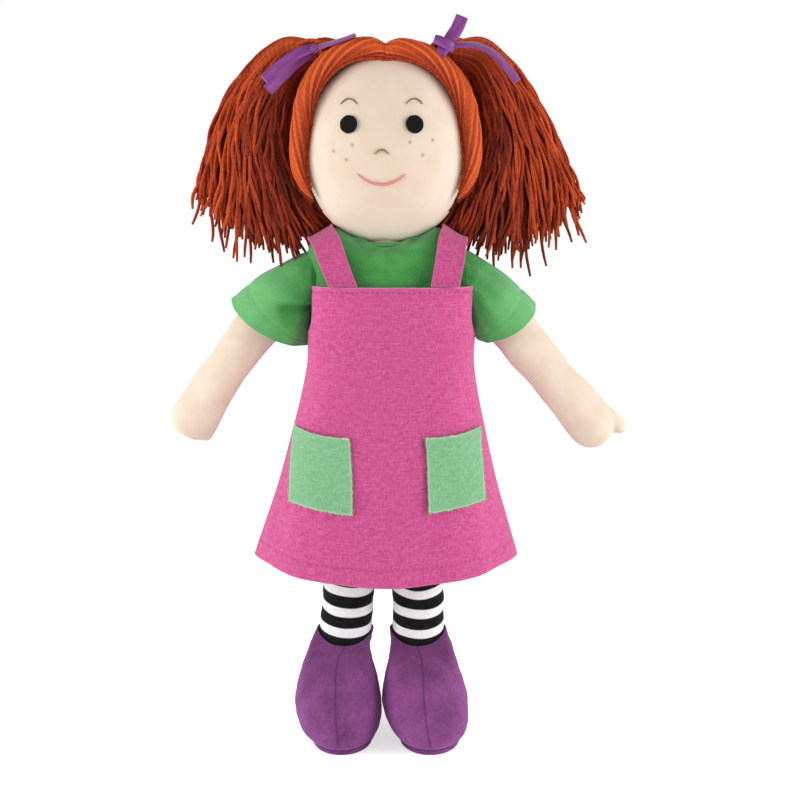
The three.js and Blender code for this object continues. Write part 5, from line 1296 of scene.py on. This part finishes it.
skirtPieces = []
panelRows = (96, 76)
for facing, word in ((1, "front"), (-1, "back")):
    whole, outwards, allMarks = panelGrid(facing, panelRows, dress["columns"])
    wholeUv = gridLengths(whole)
    for part, rows in (("bodice", slice(panelRows[0] - 1, None)), ("skirt", slice(0, panelRows[0]))):
        marks = {name: value[rows] for name, value in allMarks.items()}
        shape = addSheet([], whole[rows], dress["wall"], outwards[rows], marks, uv=wholeUv[rows],
                         normals=outwards[rows])
        piece = makePiece(word + "_" + part, shape, "linen", "linen", "torso", "dress_" + word)
        if part == "skirt":
            skirtPieces.append(piece)

# Straps: linen bands from the bib over the shoulder to the back panel. Rows: share of the depth from front to back,
# share of the rise, share of the way from the foot to the top.
strap = {
    "width": 13.6, "wall": 1.0, "foot": {"left": 27.9, "right": -19.8}, "top": {"left": 33, "right": -31.3},
    "backFoot": 26, "shoulder": (30, 222), "depth": 24.7, "level": 221.3, "rise": 25.1, "tilt": 0.5, "shade": 0.28,
    "rows": [[-1, 0, 0], [-.96, .46, .4], [-.77, .83, .7], [-.42, .97, .95], [0, 1, 1], [.42, .97, .95],
             [.77, .83, .7], [.96, .46, .4], [1, 0, 0]]}
for side, sign in sides.items():
    rows = evenRows(strap["rows"], 90, np.array([strap["depth"], strap["rise"], 0.01]))
    share = rows[:, 2]
    # In front it leans as the photograph shows; behind it comes down straight.
    foot = np.where(rows[:, 0] < 0, strap["foot"][side], sign * strap["backFoot"])
    path = asPoints(foot + (strap["top"][side] - foot) * share, strap["depth"] * rows[:, 0],
                    strap["level"] + strap["rise"] * rows[:, 1])
    tilt = strap["tilt"] * share**2
    across = asPoints(np.cos(tilt), 0, -sign * np.sin(tilt))
    s = np.linspace(-1, 1, 25)
    grid = path[:, None] + across[:, None] * (s * strap["width"] / 2)[None, :, None]
    outwards = unit(grid - np.array([sign * strap["shoulder"][0], 0, strap["shoulder"][1]]))
    lumps = 0.25 * roughness3d(grid, 12, 71 + sign) + 0.35 * bell(np.abs(s), 0.86, 0.1)
    grid = grid + outwards * lumps[..., None]
    ends = np.abs(np.linspace(-1, 1, 90))[:, None] + 0 * s
    # Painted shade: the straps are darkened evenly, for the shadow of the hair on them.
    marks = {"edge": np.broadcast_to(0.75 * blendStep(np.abs(s), 0.9, 1.0), grid.shape[:2]),
             "stitched": bell(ends, 0.955, 0.012), "shade": strap["shade"] + 0 * ends}
    piece = makePiece("linen_strap_" + side, addSheet([], grid, strap["wall"], outwards, marks), "linen", "linen",
                      "torso", "strap_" + side)

# Patch pockets: laid on the skirt, mouth a little open, edges frayed to a pale fringe. Each has its foot and mouth
# corners (x and height) from the viewer's left to right, the column of the corner with the bar tack, and threads
# per side, foot and mouth.
pocket = {
    "wall": 0.8, "mouth": 1.6, "lift": 0.75, "rows": 40, "columns": 34, "sideThreads": 80, "endThreads": 60,
    "left": {"first": [(20.6, 121.2), (18.7, 153.4)], "last": [(46.6, 122.2), (45.2, 154.8)], "tack": 16},
    "right": {"first": [(-45.6, 121.6), (-44.2, 154.8)], "last": [(-15.1, 120.4), (-16.6, 153.1)], "tack": -3}}
pocketPieces = []
for side, sign in sides.items():
    # Straight between its four corners on the skirt's front, the mouth's middle a little open
    r = np.linspace(0, 1, pocket["rows"])[:, None]
    c = np.linspace(0, 1, pocket["columns"])[None]
    first, last = [np.array(pocket[side][key]) for key in ("first", "last")]
    flat = ((first[0] * (1 - r[..., None]) + first[1] * r[..., None]) * (1 - c[..., None])
            + (last[0] * (1 - r[..., None]) + last[1] * r[..., None]) * c[..., None])
    x, z = flat[..., 0] + 0.5 * np.sin(r * 5 + sign) * (c - 0.5), flat[..., 1] - 0.5 * np.sin(math.pi * c) * r
    share = (z - dress["hem"]) / (dress["bib"] - dress["hem"])
    wide = rowsAt(dress["rows"], share)[0]
    level = x - dress["lean"] * share
    power = (dress["power"] + dress["squarer"] * share) / 2
    angle = np.arcsin(np.sign(level) * (np.abs(level) / (dress["width"] / 2 * wide)) ** power)
    openness = pocket["mouth"] * r**4 * np.sin(math.pi * c)
    grid = dressPoint(angle, share, 1.0)
    grid[..., 1] -= pocket["lift"] + pocket["wall"] + openness
    grid[..., 1] -= 0.3 * roughness3d(grid, 12, 81 + sign)
    rim = np.minimum(np.minimum(c, 1 - c) * 28.5, np.minimum(r, 1 - r) * 33)
    shape = addSheet([], grid, pocket["wall"], -back, {"edge": 0.75 * blendStep(rim, 0.9, 0.1)})
    # Fringe: short loose threads along the sides, the foot and the mouth, shorter at the mouth
    pick = np.random.default_rng(91 + sign)
    top, outer, many, few = pocket["rows"] - 1, pocket["columns"] - 1, pocket["sideThreads"], pocket["endThreads"]
    total = 2 * (many + few)
    sideRows = pick.uniform(0, top, many)
    footColumns = pick.uniform(0, outer, few)
    rowIndex = np.concatenate([sideRows, sideRows[::-1], np.zeros(few), np.full(few, top)]).astype(int)
    columnIndex = np.concatenate([np.zeros(many), np.full(many, outer), footColumns, footColumns[::-1]]).astype(int)
    outwards = np.repeat([[-1, 0, 0], [1, 0, 0], [0, 0, -1], [0, 0, 1]], [many, many, few, few], axis=0)
    foot = grid[rowIndex, columnIndex] + [0, 0.3, 0]
    along = np.abs(outwards[:, ::-1]) * pick.uniform(-0.7, 0.7, (total, 1))
    reach = pick.uniform(0.2, 0.7, (total, 1)) * np.where(np.arange(total)[:, None] >= total - few, 0.5, 1.0)
    t = np.linspace(0, 1, 4)[None, :, None]
    threads = foot[:, None] + along[:, None] + outwards[:, None] * reach[:, None] * t + (
        along[:, None] * t**2 - np.array([0, 0.25, 0]) * t)
    addStrands(shape, threads, 0.13, back, 4, {"edge": pick.uniform(0.3, 1, (total, 1))})
    # A bar tack holds an upper corner.
    spot = grid[-1, pocket[side]["tack"]] + [0, -0.3, -0.2]
    tack = spot + np.linspace(-1.7, 1.7, 6)[:, None] * np.array([1, 0, -0.12])
    addStrands(shape, tack[None], 0.42, back, 6, {"edge": 1.6})
    piece = makePiece("linen_pocket_" + side, shape, "pocketLinen", "pocket_linen", "torso", "pocket_" + side)
    pocketPieces.append(piece)

for piece in skirtPieces + pocketPieces:
    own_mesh(piece)
print("pinafore made")

# Floor, background and lamps: each lamp has its place, size and power
studio = {"world": 0.38, "floorHalf": 4, "paper": {"dark": "fbfbfb", "light": "ffffff", "glow": 0.62},
          "aim": (0, 0, 0.17),
          "lamps": {"left_softbox": ((1.05, -0.42, 0.42), 0.8, 9.2), "right_softbox": ((-1.05, -0.42, 0.42), 0.8, 9.2),
                    "front_softbox": ((0, -1.4, 0.12), 0.6, 0.85)}}


def seenDirectly(add):
    # One for rays that the camera sends, also by a reflection or through glass, and nothing for scattered light.
    ray = add("LightPath")
    return add("MAXIMUM", ray["Is Camera Ray"], add("MAXIMUM", ray["Is Glossy Ray"], ray["Is Transmission Ray"]))


# White paper: bright enough to end in pure white, which keeps the doll's shadow soft and faint
def whitePaper(add, look):
    grain = add("TexNoise", add("Mapping", add("TexCoord"), (700, 700, 700)), 2.0)
    return {"Base Color": add("Mix", grain, look["dark"], look["light"]),
            "Emission Strength": add("MULTIPLY", seenDirectly(add), look["glow"])}


half = studio["floorHalf"]
floorMesh = bpy.data.meshes.new("studio_floor")
floorMesh.from_pydata([(-half, -half, 0), (half, -half, 0), (half, half, 0), (-half, half, 0)], [], [(0, 1, 2, 3)])
floorMesh.materials.append(makeMaterial("white_paper", whitePaper, studio["paper"],
                                        {"Roughness": 0.9, "Emission Color": "ffffff"}))
addObject("studio_floor", floorMesh)

world = bpy.data.worlds.new("white_studio")
scene.world = world
world.use_nodes = True
add = functools.partial(addNode, world.node_tree)
strength = add("MULTIPLY_ADD", seenDirectly(add), 1.0 - studio["world"], studio["world"])
setSockets(world.node_tree, world.node_tree.nodes["Background"], {"Color": "ffffff", "Strength": strength})

for name, (place, size, power) in studio["lamps"].items():
    lamp = bpy.data.lights.new(name, "AREA")
    lamp.shape, lamp.size, lamp.energy = "DISK", size, power
    stand = addObject(name, lamp)
    stand.location = place
    aim = np.array(studio["aim"]) - np.array(place)
    stand.rotation_euler = (math.atan2(math.hypot(aim[0], aim[1]), -aim[2]), 0, math.atan2(aim[0], -aim[1]) + math.pi)
scene.view_settings.view_transform = "Standard"
print("studio made")
